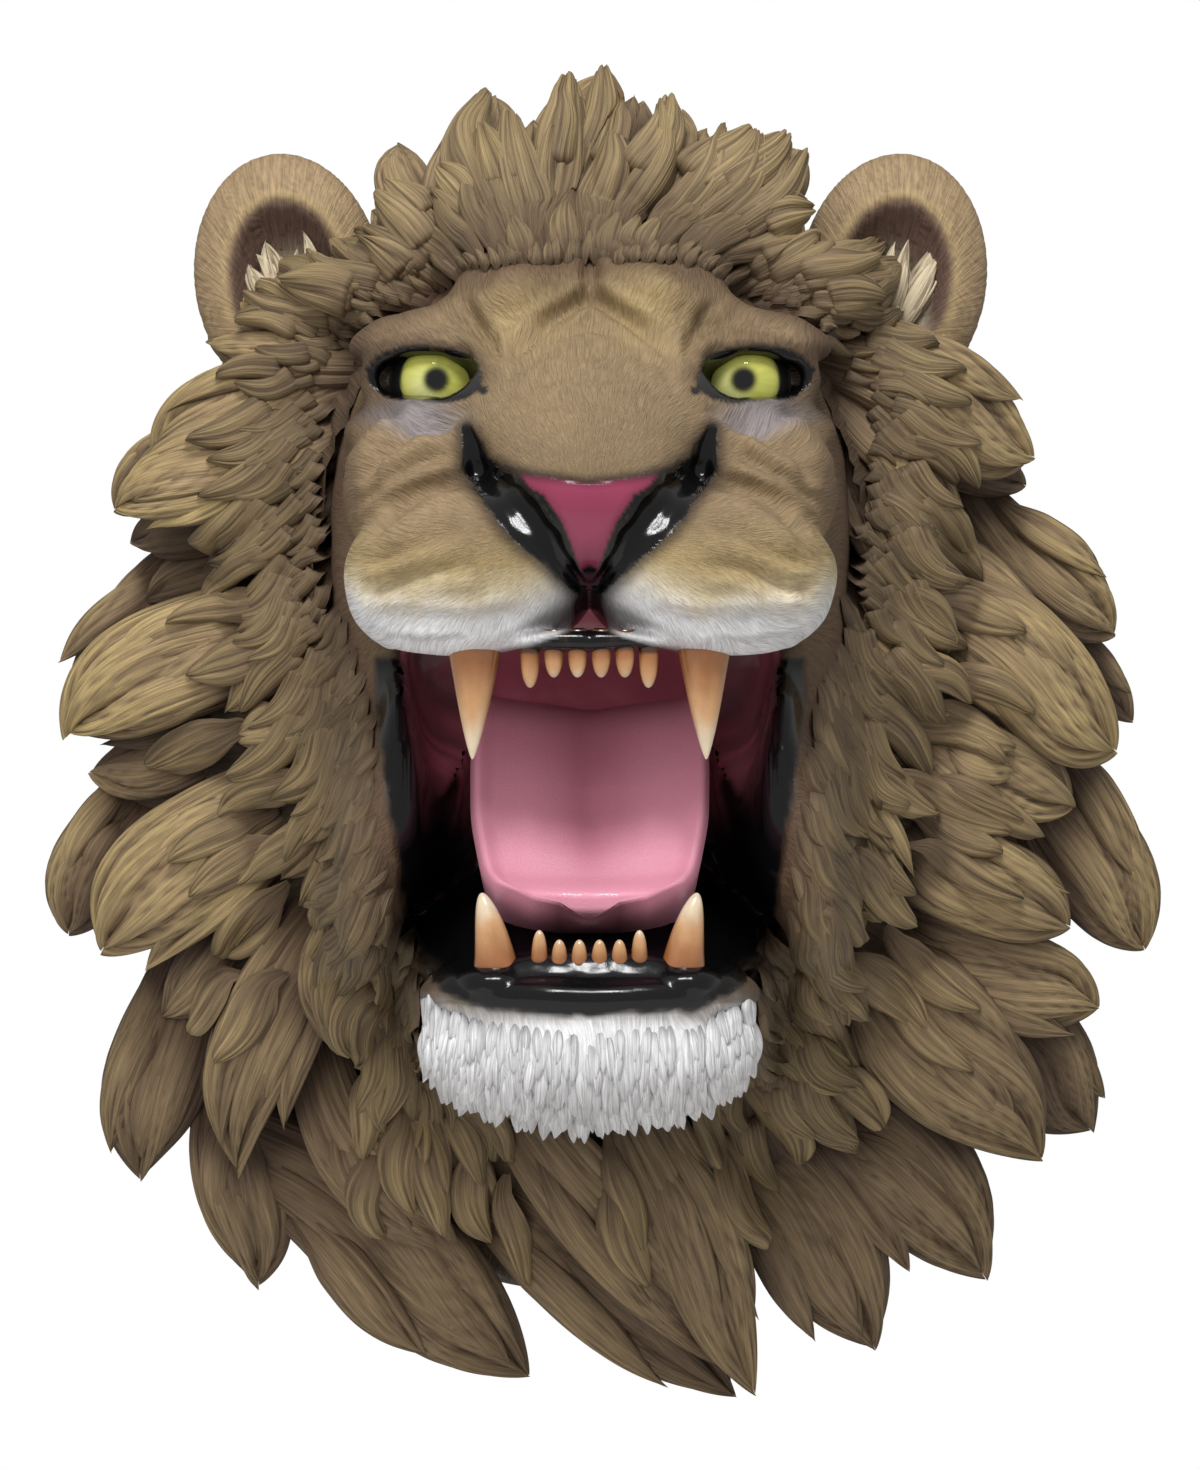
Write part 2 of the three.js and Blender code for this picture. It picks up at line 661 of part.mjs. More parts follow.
// The tongue lies along the floor of the mouth, from its root in the throat to its tip behind the
// lower teeth. Each station is a share of the way out, with how far the tongue's middle is above
// the floor and a share of the full width.
const TONGUE_ROOT_DEPTH = MOUTH.throatDepth + 18;
const TONGUE_TIP_DEPTH = LOWER_CANINE.depth - 16;
const TONGUE_LINE = [
  { out: 0, lift: 12, width: 0.86 },
  { out: 0.18, lift: 28, width: 0.98 },
  { out: 0.4, lift: 22, width: 1 },
  { out: 0.66, lift: 14, width: 0.98 },
  { out: 0.87, lift: 3, width: 0.88 },
  { out: 1, lift: -2, width: 0.68 },
];
const TONGUE_ACROSS = 6; // facets across it
const TONGUE_ROUND = 7; // how far its edges are rounded off

function tongueSolid(gap) {
  const line = TONGUE_LINE.map(({ out, lift }) => {
    const depth = lerp(TONGUE_ROOT_DEPTH, TONGUE_TIP_DEPTH, out);
    return new THREE.Vector2(depth, mouthFloor(depth) + lift);
  });
  const last = line.length - 1;
  const rings = line.map((here, i) => {
    const run = line[Math.min(i + 1, last)].clone().sub(line[Math.max(i - 1, 0)]).normalize();
    const end = i === 0 ? -gap : i === last ? gap : 0;
    const half = (TONGUE_WIDTH / 2) * TONGUE_LINE[i].width + gap;
    const point = (share, rise) =>
      at(share * half, here.x + run.x * end - run.y * rise, here.y + run.y * end + run.x * rise);
    const top = [];
    const under = [];
    for (let s = 0; s <= TONGUE_ACROSS; s++) {
      const share = (s / TONGUE_ACROSS) * 2 - 1;
      const edge = Math.abs(share);
      const groove = 2 * s === TONGUE_ACROSS ? TONGUE_GROOVE : 0;
      const rounded = s % TONGUE_ACROSS === 0 ? TONGUE_ROUND : 0;
      const rise = TONGUE_THICKNESS / 2 + TONGUE_DISH * edge ** 2 - groove - rounded + gap;
      top.push(point(share, rise));
      if (s > 0 && s < TONGUE_ACROSS) under.push(point(share, -TONGUE_THICKNESS / 2 - gap));
    }
    return [...top, ...under.reverse()];
  });
  return loft(rings);
}

// The casting, with a flat back and a seat for each piece that is set into it.
function castingSolid() {
  const parts = [faceSolid(), maneBody()];
  for (const row of MANE) for (const lock of row.locks) parts.push(lockSolid(row, lock));
  for (const side of [-1, 1])
    parts.push(massSolid(EAR, side).subtract(massSolid(EAR_HOLLOW, side)));
  let casting = joined(parts).subtract(massSolid(LIP_CLEFT, 1));
  for (const side of [-1, 1])
    for (const hollow of [EYE_OPENING, NOSTRIL, NOSTRIL_WING])
      casting = casting.subtract(massSolid(hollow, side));
  const wall = new THREE.BoxGeometry(2 * CARVED_HEIGHT, CARVED_HEIGHT, 2 * CARVED_HEIGHT);
  wall.translate(0, CARVED_HEIGHT / 2, 0);
  return filled(casting.subtract(solidOf(wall)));
}

const SIDES = [
  ["left", -1],
  ["right", 1],
];

// Pieces set into the casting: name, material, and a function of the gap round the piece.
const inserts = [["tongue", "tongue", tongueSolid]];
for (const [name, side] of SIDES) {
  inserts.push([name + "_eye", "eye", (gap) => eyeSolid(side, gap)]);
  inserts.push([
    "upper_" + name + "_canine",
    "tooth",
    (gap) => canineSolid(UPPER_CANINE, side, -1, gap),
  ]);
  inserts.push([
    "lower_" + name + "_canine",
    "tooth",
    (gap) => canineSolid(LOWER_CANINE, side, 1, gap),
  ]);
}
inserts.push(["upper_incisors", "tooth", (gap) => incisorRow(UPPER_ROW, -1, gap)]);
inserts.push(["lower_incisors", "tooth", (gap) => incisorRow(LOWER_ROW, 1, gap)]);

const materials = {
  coat: new THREE.MeshStandardMaterial({ color: 0x8a6b4a, roughness: 0.8, metalness: 0 }),
  eye: new THREE.MeshStandardMaterial({ color: 0xc9c552, roughness: 0.08, metalness: 0 }),
  tooth: new THREE.MeshStandardMaterial({ color: 0xc98f4d, roughness: 0.25, metalness: 0 }),
  tongue: new THREE.MeshStandardMaterial({ color: 0xc07a86, roughness: 0.45, metalness: 0 }),
};

function piece(name, material, solid) {
  const mesh = new THREE.Mesh(geometryOf(solid), materials[material]);
  mesh.name = name;
  return mesh;
}

const lion = new THREE.Group();
let casting = castingSolid();
for (const [name, material, make] of inserts) {
  casting = casting.subtract(make(FIT_GAP / SHARE));
  lion.add(piece(name, material, make(0)));
}
lion.add(piece("lion_head", "coat", casting));

export default lion;
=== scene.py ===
"""A roaring lion's head to hang on a wall: a painted resin casting with glass eyes."""

import functools
import math

import bpy
import numpy as np
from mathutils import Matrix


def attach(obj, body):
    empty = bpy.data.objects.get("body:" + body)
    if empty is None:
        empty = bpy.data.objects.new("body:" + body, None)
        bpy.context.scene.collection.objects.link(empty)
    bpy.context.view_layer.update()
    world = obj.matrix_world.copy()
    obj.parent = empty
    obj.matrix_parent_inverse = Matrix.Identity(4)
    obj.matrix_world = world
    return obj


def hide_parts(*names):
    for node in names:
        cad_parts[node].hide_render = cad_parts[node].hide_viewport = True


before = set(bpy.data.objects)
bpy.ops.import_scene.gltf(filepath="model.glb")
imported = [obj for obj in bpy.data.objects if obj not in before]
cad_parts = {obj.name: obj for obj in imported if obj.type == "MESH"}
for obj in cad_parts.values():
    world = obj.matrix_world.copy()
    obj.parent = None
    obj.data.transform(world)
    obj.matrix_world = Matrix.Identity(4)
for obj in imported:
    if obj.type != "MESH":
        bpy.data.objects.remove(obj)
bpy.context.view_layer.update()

import openvdb
from mathutils import Vector

bl_info = {
    "name": "Lion head wall mask",
    "version": (1, 0, 0),
    "blender": (4, 5, 0),
    "location": "3D View > Sidebar > Lion Head",
    "description": "Builds the painted looks of a lion head wall mask on its packed solids",
    "category": "Add Mesh",
}

# Places are in millimetres, as across (x), depth out from the wall (d) and height (z), the way
# the solids give them. They become metres when a mesh is made.
MM = 0.001


def colour(red, green, blue):
    """A paint's colour in linear light from the 0-255 numbers on its tin."""
    shares = [value / 255 for value in (red, green, blue)]
    return tuple(s / 12.92 if s <= 0.04045 else ((s + 0.055) / 1.055) ** 2.4 for s in shares)


# Sizes and paints that a user would change


def paint_property(name, description, default):
    return bpy.props.FloatVectorProperty(
        name=name, description=description, default=default, size=3, min=0, max=1, subtype="COLOR"
    )


def length_property(name, description, default):
    return bpy.props.FloatProperty(
        name=name, description=description, default=default * MM, unit="LENGTH", subtype="DISTANCE"
    )


class LionSizes(bpy.types.PropertyGroup):
    """Sizes of the modelled relief"""

    face_detail: length_property("Face detail", "Side of a facet of the face's skin", 2.35)
    ear_detail: length_property("Ear detail", "Side of a facet of an ear", 2.5)
    lobe_depth: length_property("Lobe depth", "Deepest parting between the lobes of a wide lock", 7.5)
    strand_depth: length_property("Strand depth", "Depth of the strands cut in a wide lock", 3.0)
    chin_tuft: length_property("Chin tuft", "Length of a tuft of the white chin", 26.0)
    camera_distance: length_property("Camera distance", "From the wall to the camera", 2200.0)


class LionPaints(bpy.types.PropertyGroup):
    """Paints of the mask"""

    coat: paint_property("Coat", "Tan of the face and the strands", colour(158, 134, 101))
    # The dark brown is both a real paint and the painted shade of recesses, partings and the undersides of
    # locks.
    wash_and_shade: paint_property("Wash", "Dark brown wash in the recesses", colour(66, 48, 36))
    # The ochre on the raised strands is partly a painted highlight.
    ochre: paint_property("Ochre", "Dry-brushed on the raised strands", colour(196, 172, 118))
    crest: paint_property("Crest", "Greyer brown of the crest and the lowest locks", colour(120, 98, 76))
    cream: paint_property("Cream", "Lower half of the whisker pads", colour(222, 208, 178))
    white: paint_property("White", "Chin and the bottoms of the pads", colour(232, 231, 232))
    lilac: paint_property("Lilac", "Shadow painted under the eyes", colour(132, 134, 150))
    lips: paint_property("Lips", "Black of lips, lids and nostrils", colour(13, 13, 15))
    gums: paint_property("Gums", "Blue-black of the gums", colour(26, 29, 35))
    nose: paint_property("Nose", "Raspberry pink of the nose leather", colour(146, 58, 86))
    mouth: paint_property("Mouth", "Mauve lining of the mouth", colour(128, 66, 78))
    tongue: paint_property("Tongue", "Pink of the tongue", colour(214, 142, 162))
    iris: paint_property("Iris", "Yellow-green of the eyes", colour(190, 190, 92))
    ivory: paint_property("Ivory", "Tips of the teeth", colour(218, 200, 172))
    amber: paint_property("Amber", "Roots of the teeth", colour(156, 100, 56))


def sizes():
    return bpy.context.scene.lion_sizes


def paints():
    return bpy.context.scene.lion_paints


# Fields and noise


def clamp01(value):
    return np.clip(value, 0.0, 1.0)


def smooth(low, high, value):
    """0 below low and 1 above high, easing between them; high may be the lower one."""
    t = clamp01((value - low) / (high - low))
    return t * t * (3 - 2 * t)


def mix(a, b, share):
    return a + (b - a) * share


def blend_colours(base, other, share):
    return base + (np.asarray(other) - base) * np.asarray(share)[..., None]


def follow(line, places):
    """Second values of a line of pairs, read at places along its first ones."""
    return np.interp(places, *np.array(line, dtype=float).T)


def rows_by_columns(down, over):
    """Two tables with a row for each value of down and a column for each value of over."""
    return np.meshgrid(down, over, indexing="ij")


def lattice(ix, iy, iz, seed):
    n = (ix * 73856093) ^ (iy * 19349663) ^ (iz * 83492791) ^ (seed * 26544357)
    n = (n ^ (n >> 13)) * 1274126177
    return ((n ^ (n >> 16)) & 0xFFFF) / 32767.5 - 1


def noise(x, y, z, seed):
    """Smooth noise from -1 to 1 with features one unit wide."""
    x, y, z = np.broadcast_arrays(x, y, z)
    whole = [np.floor(v).astype(np.int64) for v in (x, y, z)]
    fx, fy, fz = (v - w for v, w in zip((x, y, z), whole))
    fx, fy, fz = (f * f * (3 - 2 * f) for f in (fx, fy, fz))
    ix, iy, iz = whole
    total = 0
    for ax in (0, 1):
        for ay in (0, 1):
            for az in (0, 1):
                share = (fx if ax else 1 - fx) * (fy if ay else 1 - fy) * (fz if az else 1 - fz)
                total = total + share * lattice(ix + ax, iy + ay, iz + az, seed)
    return total


def turned(a, b, angle):
    return a * math.cos(angle) - b * math.sin(angle), a * math.sin(angle) + b * math.cos(angle)


def ellipsoid(at, half, turn, x, d, z):
    px, pd, pz = x - at[0], d - at[1], z - at[2]
    pitch, roll, yaw = (math.radians(v) for v in turn)
    if pitch:
        pd, pz = turned(pd, pz, -pitch)
    if roll:
        px, pz = turned(px, pz, roll)
    if yaw:
        px, pd = turned(px, pd, yaw)
    a, b, c = half
    near = np.sqrt((px / a) ** 2 + (pd / b) ** 2 + (pz / c) ** 2)
    slope = np.sqrt((px / (a * a)) ** 2 + (pd / (b * b)) ** 2 + (pz / (c * c)) ** 2)
    return near * (near - 1) / np.maximum(slope, 1e-6)


def blend_union(a, b, radius):
    h = np.maximum(radius - np.abs(a - b), 0) / radius
    return np.minimum(a, b) - h * h * radius / 4


def blend_cut(a, b, radius):
    return -blend_union(-a, b, radius)


STRAIGHT = (0, 0, 0)
# The head: rounded masses run together, as the solid has them: middle, half sizes, turn in
# degrees and the radius of the fillet that blends each one in.
MASSES = {
    "skull": ((0, 120, 195), (166, 178, 132), STRAIGHT, 1),
    "neck": ((0, 100, -60), (175, 120, 205), STRAIGHT, 40),
    "cheek bone": ((106, 190, 130), (56, 110, 100), STRAIGHT, 25),
    "brow knot": ((45, 266, 257), (40, 42, 37), STRAIGHT, 12),
    "brow ridge": ((96, 262, 240), (50, 40, 17), (0, 8, 0), 14),
    "under the eye": ((102, 262, 182), (46, 42, 20), STRAIGHT, 14),
    "middle of the brow": ((0, 196, 262), (80, 92, 56), STRAIGHT, 22),
    "bridge": ((0, 342, 182), (62, 104, 40), (-30, 0, 0), 34),
    "nose block": ((0, 386, 126), (55, 46, 42), STRAIGHT, 18),
    "side of the bridge": ((52, 306, 188), (34, 62, 34), (-24, 0, 0), 30),
    "snarling cheek": ((92, 306, 142), (54, 64, 50), STRAIGHT, 18),
    "whisker pad": ((68, 350, 92), (74, 76, 50), STRAIGHT, 12),
    "bottom of the pad": ((74, 370, 74), (60, 44, 31), STRAIGHT, 12),
    "jaw branch": ((112, 270, -30), (26, 62, 112), (28, -12, 0), 20),
    "jaw root": ((118, 190, 0), (45, 90, 120), STRAIGHT, 30),
    "chin": ((0, 338, -180), (100, 68, 44), STRAIGHT, 18),
    "lower lip": ((0, 350, -149), (98, 54, 24), STRAIGHT, 10),
    "underjaw": ((0, 215, -150), (112, 130, 66), (12, 0, 0), 30),
}
MOUTH = {
    "top": 48,
    "top_rise": 0.12,
    "pad_droop": 8,
    "pad_depth": 24,
    "floor": -128,
    "floor_slope": 0.8,
    "lips": 392,
    "throat": 222,
    "half_top": 112,
    "half_bottom": 76,
    "blend": 12,
}
# Where the head ends in depth, and the way in to its skin: steps at most, share of each gap and
# least step.
HEAD_BACK, HEAD_FRONT = 60, 470.0
MARCH_STEPS, MARCH_SHARE, MARCH_LEAST = 90, 0.75, 0.1
EYE = {"radius": 29, "across": 92, "height": 211, "depth": 272, "back": 0.48, "turn": 9}
EYE_OPENING = ((96, 318, 211), (32, 38, 17), (0, -4, 0))
LID = {
    "across": 97, "height": 212, "half": 35, "rise": 19.5,
    "thick": 3.4, "proud": 23, "turn": 0.32, "lean": 0.16,
}
# Ridges of gum behind the lips: middle, half sizes and fillet; and the cleft below the nose.
GUMS = (((0, 396, 53), (52, 12, 7), 5), ((0, 380, -136), (66, 13, 13), 6))
CLEFT = (((0, 432, 84), (0, 424, 50)), (2.5, 9))
UPPER_CANINE = dict(x=65, z=52, depth=386, length=66, width=32, lean=1, rake=6, narrowing=0.8, taper=6)
LOWER_CANINE = dict(x=53, z=-134, depth=380, length=44, width=26, lean=8, rake=-3, narrowing=0.55, taper=5)
CANINE_ROOT = 14
# Each nostril, from the top of its wing to the tip of the nose: across, height, and the half
# widths of its slit and of the black round it.
NOSTRIL_LINE = (
    (72, 180, 2.2, 3.0),
    (70, 171, 3.2, 5.8),
    (67, 159, 4.5, 8.3),
    (50, 144, 7.5, 14.0),
    (38, 128, 8.5, 14.4),
    (25, 113, 6.5, 11.5),
    (14.5, 98.5, 4.0, 7.6),
    (3, 86, 3.0, 5.0),
)
NOSE_SPREAD = 1.045


def mouth_floor(d):
    return MOUTH["floor"] + MOUTH["floor_slope"] * (MOUTH["lips"] - d)


def mouth_half(z):
    down = clamp01((MOUTH["top"] - z) / (MOUTH["top"] - MOUTH["floor"]))
    return mix(MOUTH["half_top"], MOUTH["half_bottom"], down)


def mouth_hollow(x, d, z):
    inward = MOUTH["lips"] - d
    hang = MOUTH["pad_droop"] * (1 - smooth(4, MOUTH["pad_depth"], inward))
    top = MOUTH["top"] + MOUTH["top_rise"] * np.maximum(inward, 0) - hang
    wall = -blend_union(-(z - top), -(mouth_floor(d) - z), MOUTH["blend"])
    wall = -blend_union(-wall, mouth_half(z) - x, MOUTH["blend"] * 2)
    return -blend_union(-wall, d - MOUTH["throat"], MOUTH["blend"] * 2)


def rounded_rod(ends, radii, x, d, z):
    """Distance to a tapering rod between two places."""
    a, b = (np.array(end, dtype=np.float32) for end in ends)
    run = b - a
    share = ((x - a[0]) * run[0] + (d - a[1]) * run[1] + (z - a[2]) * run[2]) / float(run @ run)
    share = clamp01(share)
    away = [value - a[i] - run[i] * share for i, value in enumerate((x, d, z))]
    return np.sqrt(away[0] ** 2 + away[1] ** 2 + away[2] ** 2) - mix(radii[0], radii[1], share)


def bare_head(side, d, z):
    f = None
    for at, half, turn, blend in MASSES.values():
        mass = ellipsoid(at, half, turn, side, d, z)
        f = mass if f is None else blend_union(f, mass, blend)
    return f


def front_of(field_of, x, z):
    """Depth of a field's skin as seen from the front, for arrays of places across and up."""
    depth = np.full(np.broadcast(x, z).shape, HEAD_FRONT)
    for _ in range(MARCH_STEPS):
        gap = field_of(np.abs(x), depth, z)
        deeper = np.maximum(depth - np.maximum(gap * MARCH_SHARE, MARCH_LEAST), HEAD_BACK)
        depth = np.where(gap > MARCH_LEAST, deeper, depth)
    return depth


def nostril_rods():
    across, height, slit, _ = np.array(NOSTRIL_LINE, dtype=float).T / NOSE_SPREAD
    front = front_of(bare_head, across, height)
    return list(zip(across, front + 0.2 * slit, height, slit))


def head_field(x, d, z, rods):
    side = np.abs(x)
    f = bare_head(side, d, z)
    # lids: a rim round each eye opening, over the opening itself
    away = np.sqrt(((side - LID["across"]) / LID["half"]) ** 2 + ((z - LID["height"]) / LID["rise"]) ** 2)
    lid_front = EYE["depth"] + LID["proud"] - LID["turn"] * np.maximum(side - EYE["across"], 0)
    lid_front = lid_front + LID["lean"] * (z - LID["height"])
    rim = np.sqrt(((away - 1) * LID["rise"]) ** 2 + ((d - lid_front) * 0.5) ** 2) - LID["thick"]
    f = blend_union(f, rim, 12)
    f = blend_cut(f, ellipsoid(*EYE_OPENING, side, d, z), 3)
    f = blend_cut(f, mouth_hollow(side, d, z), MOUTH["blend"])
    # nostrils, and the cleft below the nose
    for (x0, d0, z0, r0), (x1, d1, z1, r1) in zip(rods, rods[1:]):
        f = blend_cut(f, rounded_rod(((x0, d0, z0), (x1, d1, z1)), (r0, r1), side, d, z), 4)
    f = blend_cut(f, rounded_rod(*CLEFT, side, d, z), 6)
    # gums: a ridge behind each lip, and a collar round each fang
    for at, half, blend in GUMS:
        f = blend_union(f, ellipsoid(at, half, STRAIGHT, side, d, z), blend)
    for fang, grow, up in ((UPPER_CANINE, 4, 1), (LOWER_CANINE, 4.5, -1)):
        half = fang["width"] / 2 + grow
        at = (fang["x"], fang["depth"], fang["z"] + 5 * up)
        f = blend_union(f, ellipsoid(at, (half, half, 9), STRAIGHT, side, d, z), 4)
    return f


# Steps that move the skin on to its field, and how far off its slope is felt.
SKIN_STEPS, SLOPE_STEP = 3, 0.4


def skin_of(field_of, low, high, pitch):
    """Vertices and quads of a field's skin inside a box, moved on to the field itself."""
    counts = [int(math.ceil((b - a) / pitch)) + 1 for a, b in zip(low, high)]
    x, d, z = (low[i] + pitch * np.arange(counts[i], dtype=np.float32) for i in range(3))
    values = field_of(x[:, None, None], d[None, :, None], z[None, None, :]).astype(np.float32)
    grid = openvdb.FloatGrid(4 * pitch)
    grid.copyFromArray(np.clip(values, -4 * pitch, 4 * pitch))
    points, quads = grid.convertToQuads(0.0)
    points = np.array(low) + points.astype(float) * pitch
    for _ in range(SKIN_STEPS):
        here = field_of(points[:, 0], points[:, 1], points[:, 2])
        slope = field_slope(field_of, points)
        length2 = np.maximum((slope**2).sum(1), 0.2)
        points -= np.clip(here / length2, -pitch, pitch)[:, None] * slope
    normals = field_slope(field_of, points)
    normals /= np.maximum(np.linalg.norm(normals, axis=1), 1e-6)[:, None]
    return points, normals, facing_out(points, normals, quads.astype(np.int64))


def field_slope(field_of, points):
    slope = np.empty_like(points)
    for axis in range(3):
        ahead, behind = points.copy(), points.copy()
        ahead[:, axis] += SLOPE_STEP
        behind[:, axis] -= SLOPE_STEP
        slope[:, axis] = (field_of(*ahead.T) - field_of(*behind.T)) / (2 * SLOPE_STEP)
    return slope


def facing_out(points, normals, quads):
    """Quads wound so that they face out in Blender's axes, where depth is -Y."""
    a, b, c = (points[quads[:, i]] for i in range(3))
    face = np.cross(b - a, c - a)
    mirrored = -(face * normals[quads[:, 0]]).sum(1)
    return quads[:, ::-1] if np.median(mirrored) < 0 else quads


def closeness(field_of, points, normals, reach, taps=5):
    """How shut in each place of a field's skin is, 0 to 1."""
    total = np.zeros(len(points))
    weight = 0
    for tap in range(1, taps + 1):
        out = reach * tap / taps
        there = points + normals * out
        total += np.maximum(out - field_of(*there.T), 0) / out / tap
        weight += 1 / tap
    return clamp01(total / weight)


# Meshes


def store_mesh(name, points, quads, triangles=None, attributes=None, colours=None):
    """A smooth mesh object from places in millimetres as (across, depth, height)."""
    placed = np.stack([points[:, 0], -points[:, 1], points[:, 2]], axis=1) * MM
    loops = [np.asarray(quads).ravel()]
    lengths = [np.full(len(quads), 4)]
    if triangles is not None and len(triangles):
        loops.append(np.asarray(triangles).ravel())
        lengths.append(np.full(len(triangles), 3))
    loops, lengths = np.concatenate(loops), np.concatenate(lengths)
    mesh = bpy.data.meshes.new(name)
    mesh.vertices.add(len(placed))
    mesh.vertices.foreach_set("co", placed.ravel().astype(np.float32))
    mesh.loops.add(len(loops))
    mesh.loops.foreach_set("vertex_index", loops.astype(np.int32))
    mesh.polygons.add(len(lengths))
    starts = np.concatenate([[0], np.cumsum(lengths)[:-1]]).astype(np.int32)
    mesh.polygons.foreach_set("loop_start", starts)
    mesh.update(calc_edges=True)
    mesh.validate()
    mesh.shade_smooth()
    for label, values in (colours or {}).items():
        layer = mesh.color_attributes.new(label, "FLOAT_COLOR", "POINT")
        rgba = np.concatenate([values, np.ones((len(values), 1))], axis=1)
        layer.data.foreach_set("color", rgba.ravel().astype(np.float32))
    for label, values in (attributes or {}).items():
        kind = "FLOAT" if values.ndim == 1 else "FLOAT_VECTOR"
        layer = mesh.attributes.new(label, kind, "POINT")
        layer.data.foreach_set("value" if kind == "FLOAT" else "vector", values.ravel().astype(np.float32))
    piece = bpy.data.objects.new(name, mesh)
    bpy.context.scene.collection.objects.link(piece)
    return piece


def dress(piece, material, node):
    piece.data.materials.append(material)
    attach(piece, "root")
    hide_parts(node)
    return piece


def dress_coat(piece):
    return dress(piece, coat_material(), "lion_head")


class MeshPile:
    """Grids of places gathered into one mesh."""

    def __init__(self):
        self.points, self.quads, self.triangles = [], [], []
        self.values = {}
        self.count = 0

    def add_grid(self, grid, values, caps=(0, -1)):
        """A grid of rings (rows, columns, 3), with a fan of triangles over each row in caps."""
        rows, columns = grid.shape[:2]
        index = self.count + np.arange(rows * columns).reshape(rows, columns)
        after = np.roll(index, -1, axis=1)
        quads = np.stack([index[:-1], after[:-1], after[1:], index[1:]], axis=-1).reshape(-1, 4)
        points = grid.reshape(-1, 3)
        for number, row in enumerate(caps):
            middle = np.full(columns, self.count + rows * columns + number)
            ends_here = [after[row], index[row]] if row == 0 else [index[row], after[row]]
            self.triangles.append(np.stack([*ends_here, middle], axis=-1))
        ends = [grid[row].mean(axis=0)[None] for row in caps]
        self.points.append(np.concatenate([points, *ends]))
        self.quads.append(quads)
        for label, value in values.items():
            flat = value.reshape(rows * columns, -1)
            tail = [value[row].reshape(columns, -1).mean(axis=0)[None] for row in caps]
            self.values.setdefault(label, []).append(np.concatenate([flat, *tail]))
        self.count += rows * columns + len(caps)

    def add_open_grid(self, grid, values, facing):
        """A sheet of places (rows, columns, 3), wound to face the given way."""
        rows, columns = grid.shape[:2]
        index = self.count + np.arange(rows * columns).reshape(rows, columns)
        corners = [index[:-1, :-1], index[:-1, 1:], index[1:, 1:], index[1:, :-1]]
        quads = np.stack(corners, axis=-1).reshape(-1, 4)
        normal = np.cross(grid[:-1, 1:] - grid[:-1, :-1], grid[1:, :-1] - grid[:-1, :-1])
        # depth is -Y when a mesh is stored, which turns the winding round
        if np.median((normal * facing[:-1, :-1]).sum(-1)) > 0:
            quads = quads[:, ::-1]
        self.points.append(grid.reshape(-1, 3))
        self.quads.append(quads)
        for label, value in values.items():
            self.values.setdefault(label, []).append(value.reshape(rows * columns, -1))
        self.count += rows * columns

    def store(self, name):
        points = np.concatenate(self.points)
        quads = np.concatenate(self.quads)
        triangles = np.concatenate(self.triangles) if self.triangles else None
        values = {label: np.concatenate(parts) for label, parts in self.values.items()}
        colours = {"paint": values.pop("paint")}
        attributes = {k: (v[:, 0] if v.shape[1] == 1 else v) for k, v in values.items()}
        return store_mesh(name, points, quads, triangles, attributes, colours)


# Materials


class NodeBench:
    """Short calls for wiring a material's nodes."""

    def __init__(self, name):
        self.material = bpy.data.materials.new(name)
        self.material.use_nodes = True
        self.tree = self.material.node_tree
        self.shader = self.tree.nodes["Principled BSDF"]

    def node(self, kind, **settings):
        made = self.tree.nodes.new(kind)
        for key, value in settings.items():
            setattr(made, key, value)
        return made

    def link(self, source, target):
        self.tree.links.new(source, target)

    def attribute(self, name, output="Fac"):
        return self.node("ShaderNodeAttribute", attribute_name=name).outputs[output]

    def feed(self, socket, value):
        """Set a socket to a number or a colour, or link an output to it."""
        if isinstance(value, (int, float)):
            socket.default_value = value
        elif isinstance(value, tuple):
            socket.default_value = (*value, 1.0)
        else:
            self.link(value, socket)

    def math(self, operation, a, b):
        made = self.node("ShaderNodeMath", operation=operation)
        self.feed(made.inputs[0], a)
        self.feed(made.inputs[1], b)
        return made.outputs[0]

    def ramp(self, value, low, high, out_low, out_high):
        made = self.node("ShaderNodeMapRange")
        self.link(value, made.inputs["Value"])
        ends = {"From Min": low, "From Max": high, "To Min": out_low, "To Max": out_high}
        for label, number in ends.items():
            made.inputs[label].default_value = number
        return made.outputs[0]

    def mixed(self, share, a, b):
        """One of two colours, by a share."""
        made = self.node("ShaderNodeMix", data_type="RGBA")
        for place, value in ((0, share), (6, a), (7, b)):
            self.feed(made.inputs[place], value)
        return made.outputs[2]

    def paint_by(self, tone):
        """The paint laid on each place, lightened or darkened by a tone, as the base colour."""
        made = self.node("ShaderNodeVectorMath", operation="SCALE")
        self.link(self.attribute("paint", "Color"), made.inputs[0])
        self.link(tone, made.inputs["Scale"])
        self.link(made.outputs[0], self.shader.inputs["Base Color"])

    def noise(self, vector, scale, detail, roughness=0.55):
        made = self.node("ShaderNodeTexNoise")
        made.inputs["Scale"].default_value = scale
        made.inputs["Detail"].default_value = detail
        made.inputs["Roughness"].default_value = roughness
        self.link(vector, made.inputs["Vector"])
        return made.outputs["Fac"]

    def stretched(self, vector, scale):
        made = self.node("ShaderNodeMapping")
        made.inputs["Scale"].default_value = scale
        self.link(vector, made.inputs["Vector"])
        return made.outputs[0]

    def bump(self, height, distance, strength=1.0, normal=None):
        made = self.node("ShaderNodeBump")
        made.inputs["Strength"].default_value = strength
        made.inputs["Distance"].default_value = distance
        self.link(height, made.inputs["Height"])
        if normal is not None:
            self.link(normal, made.inputs["Normal"])
        return made.outputs[0]


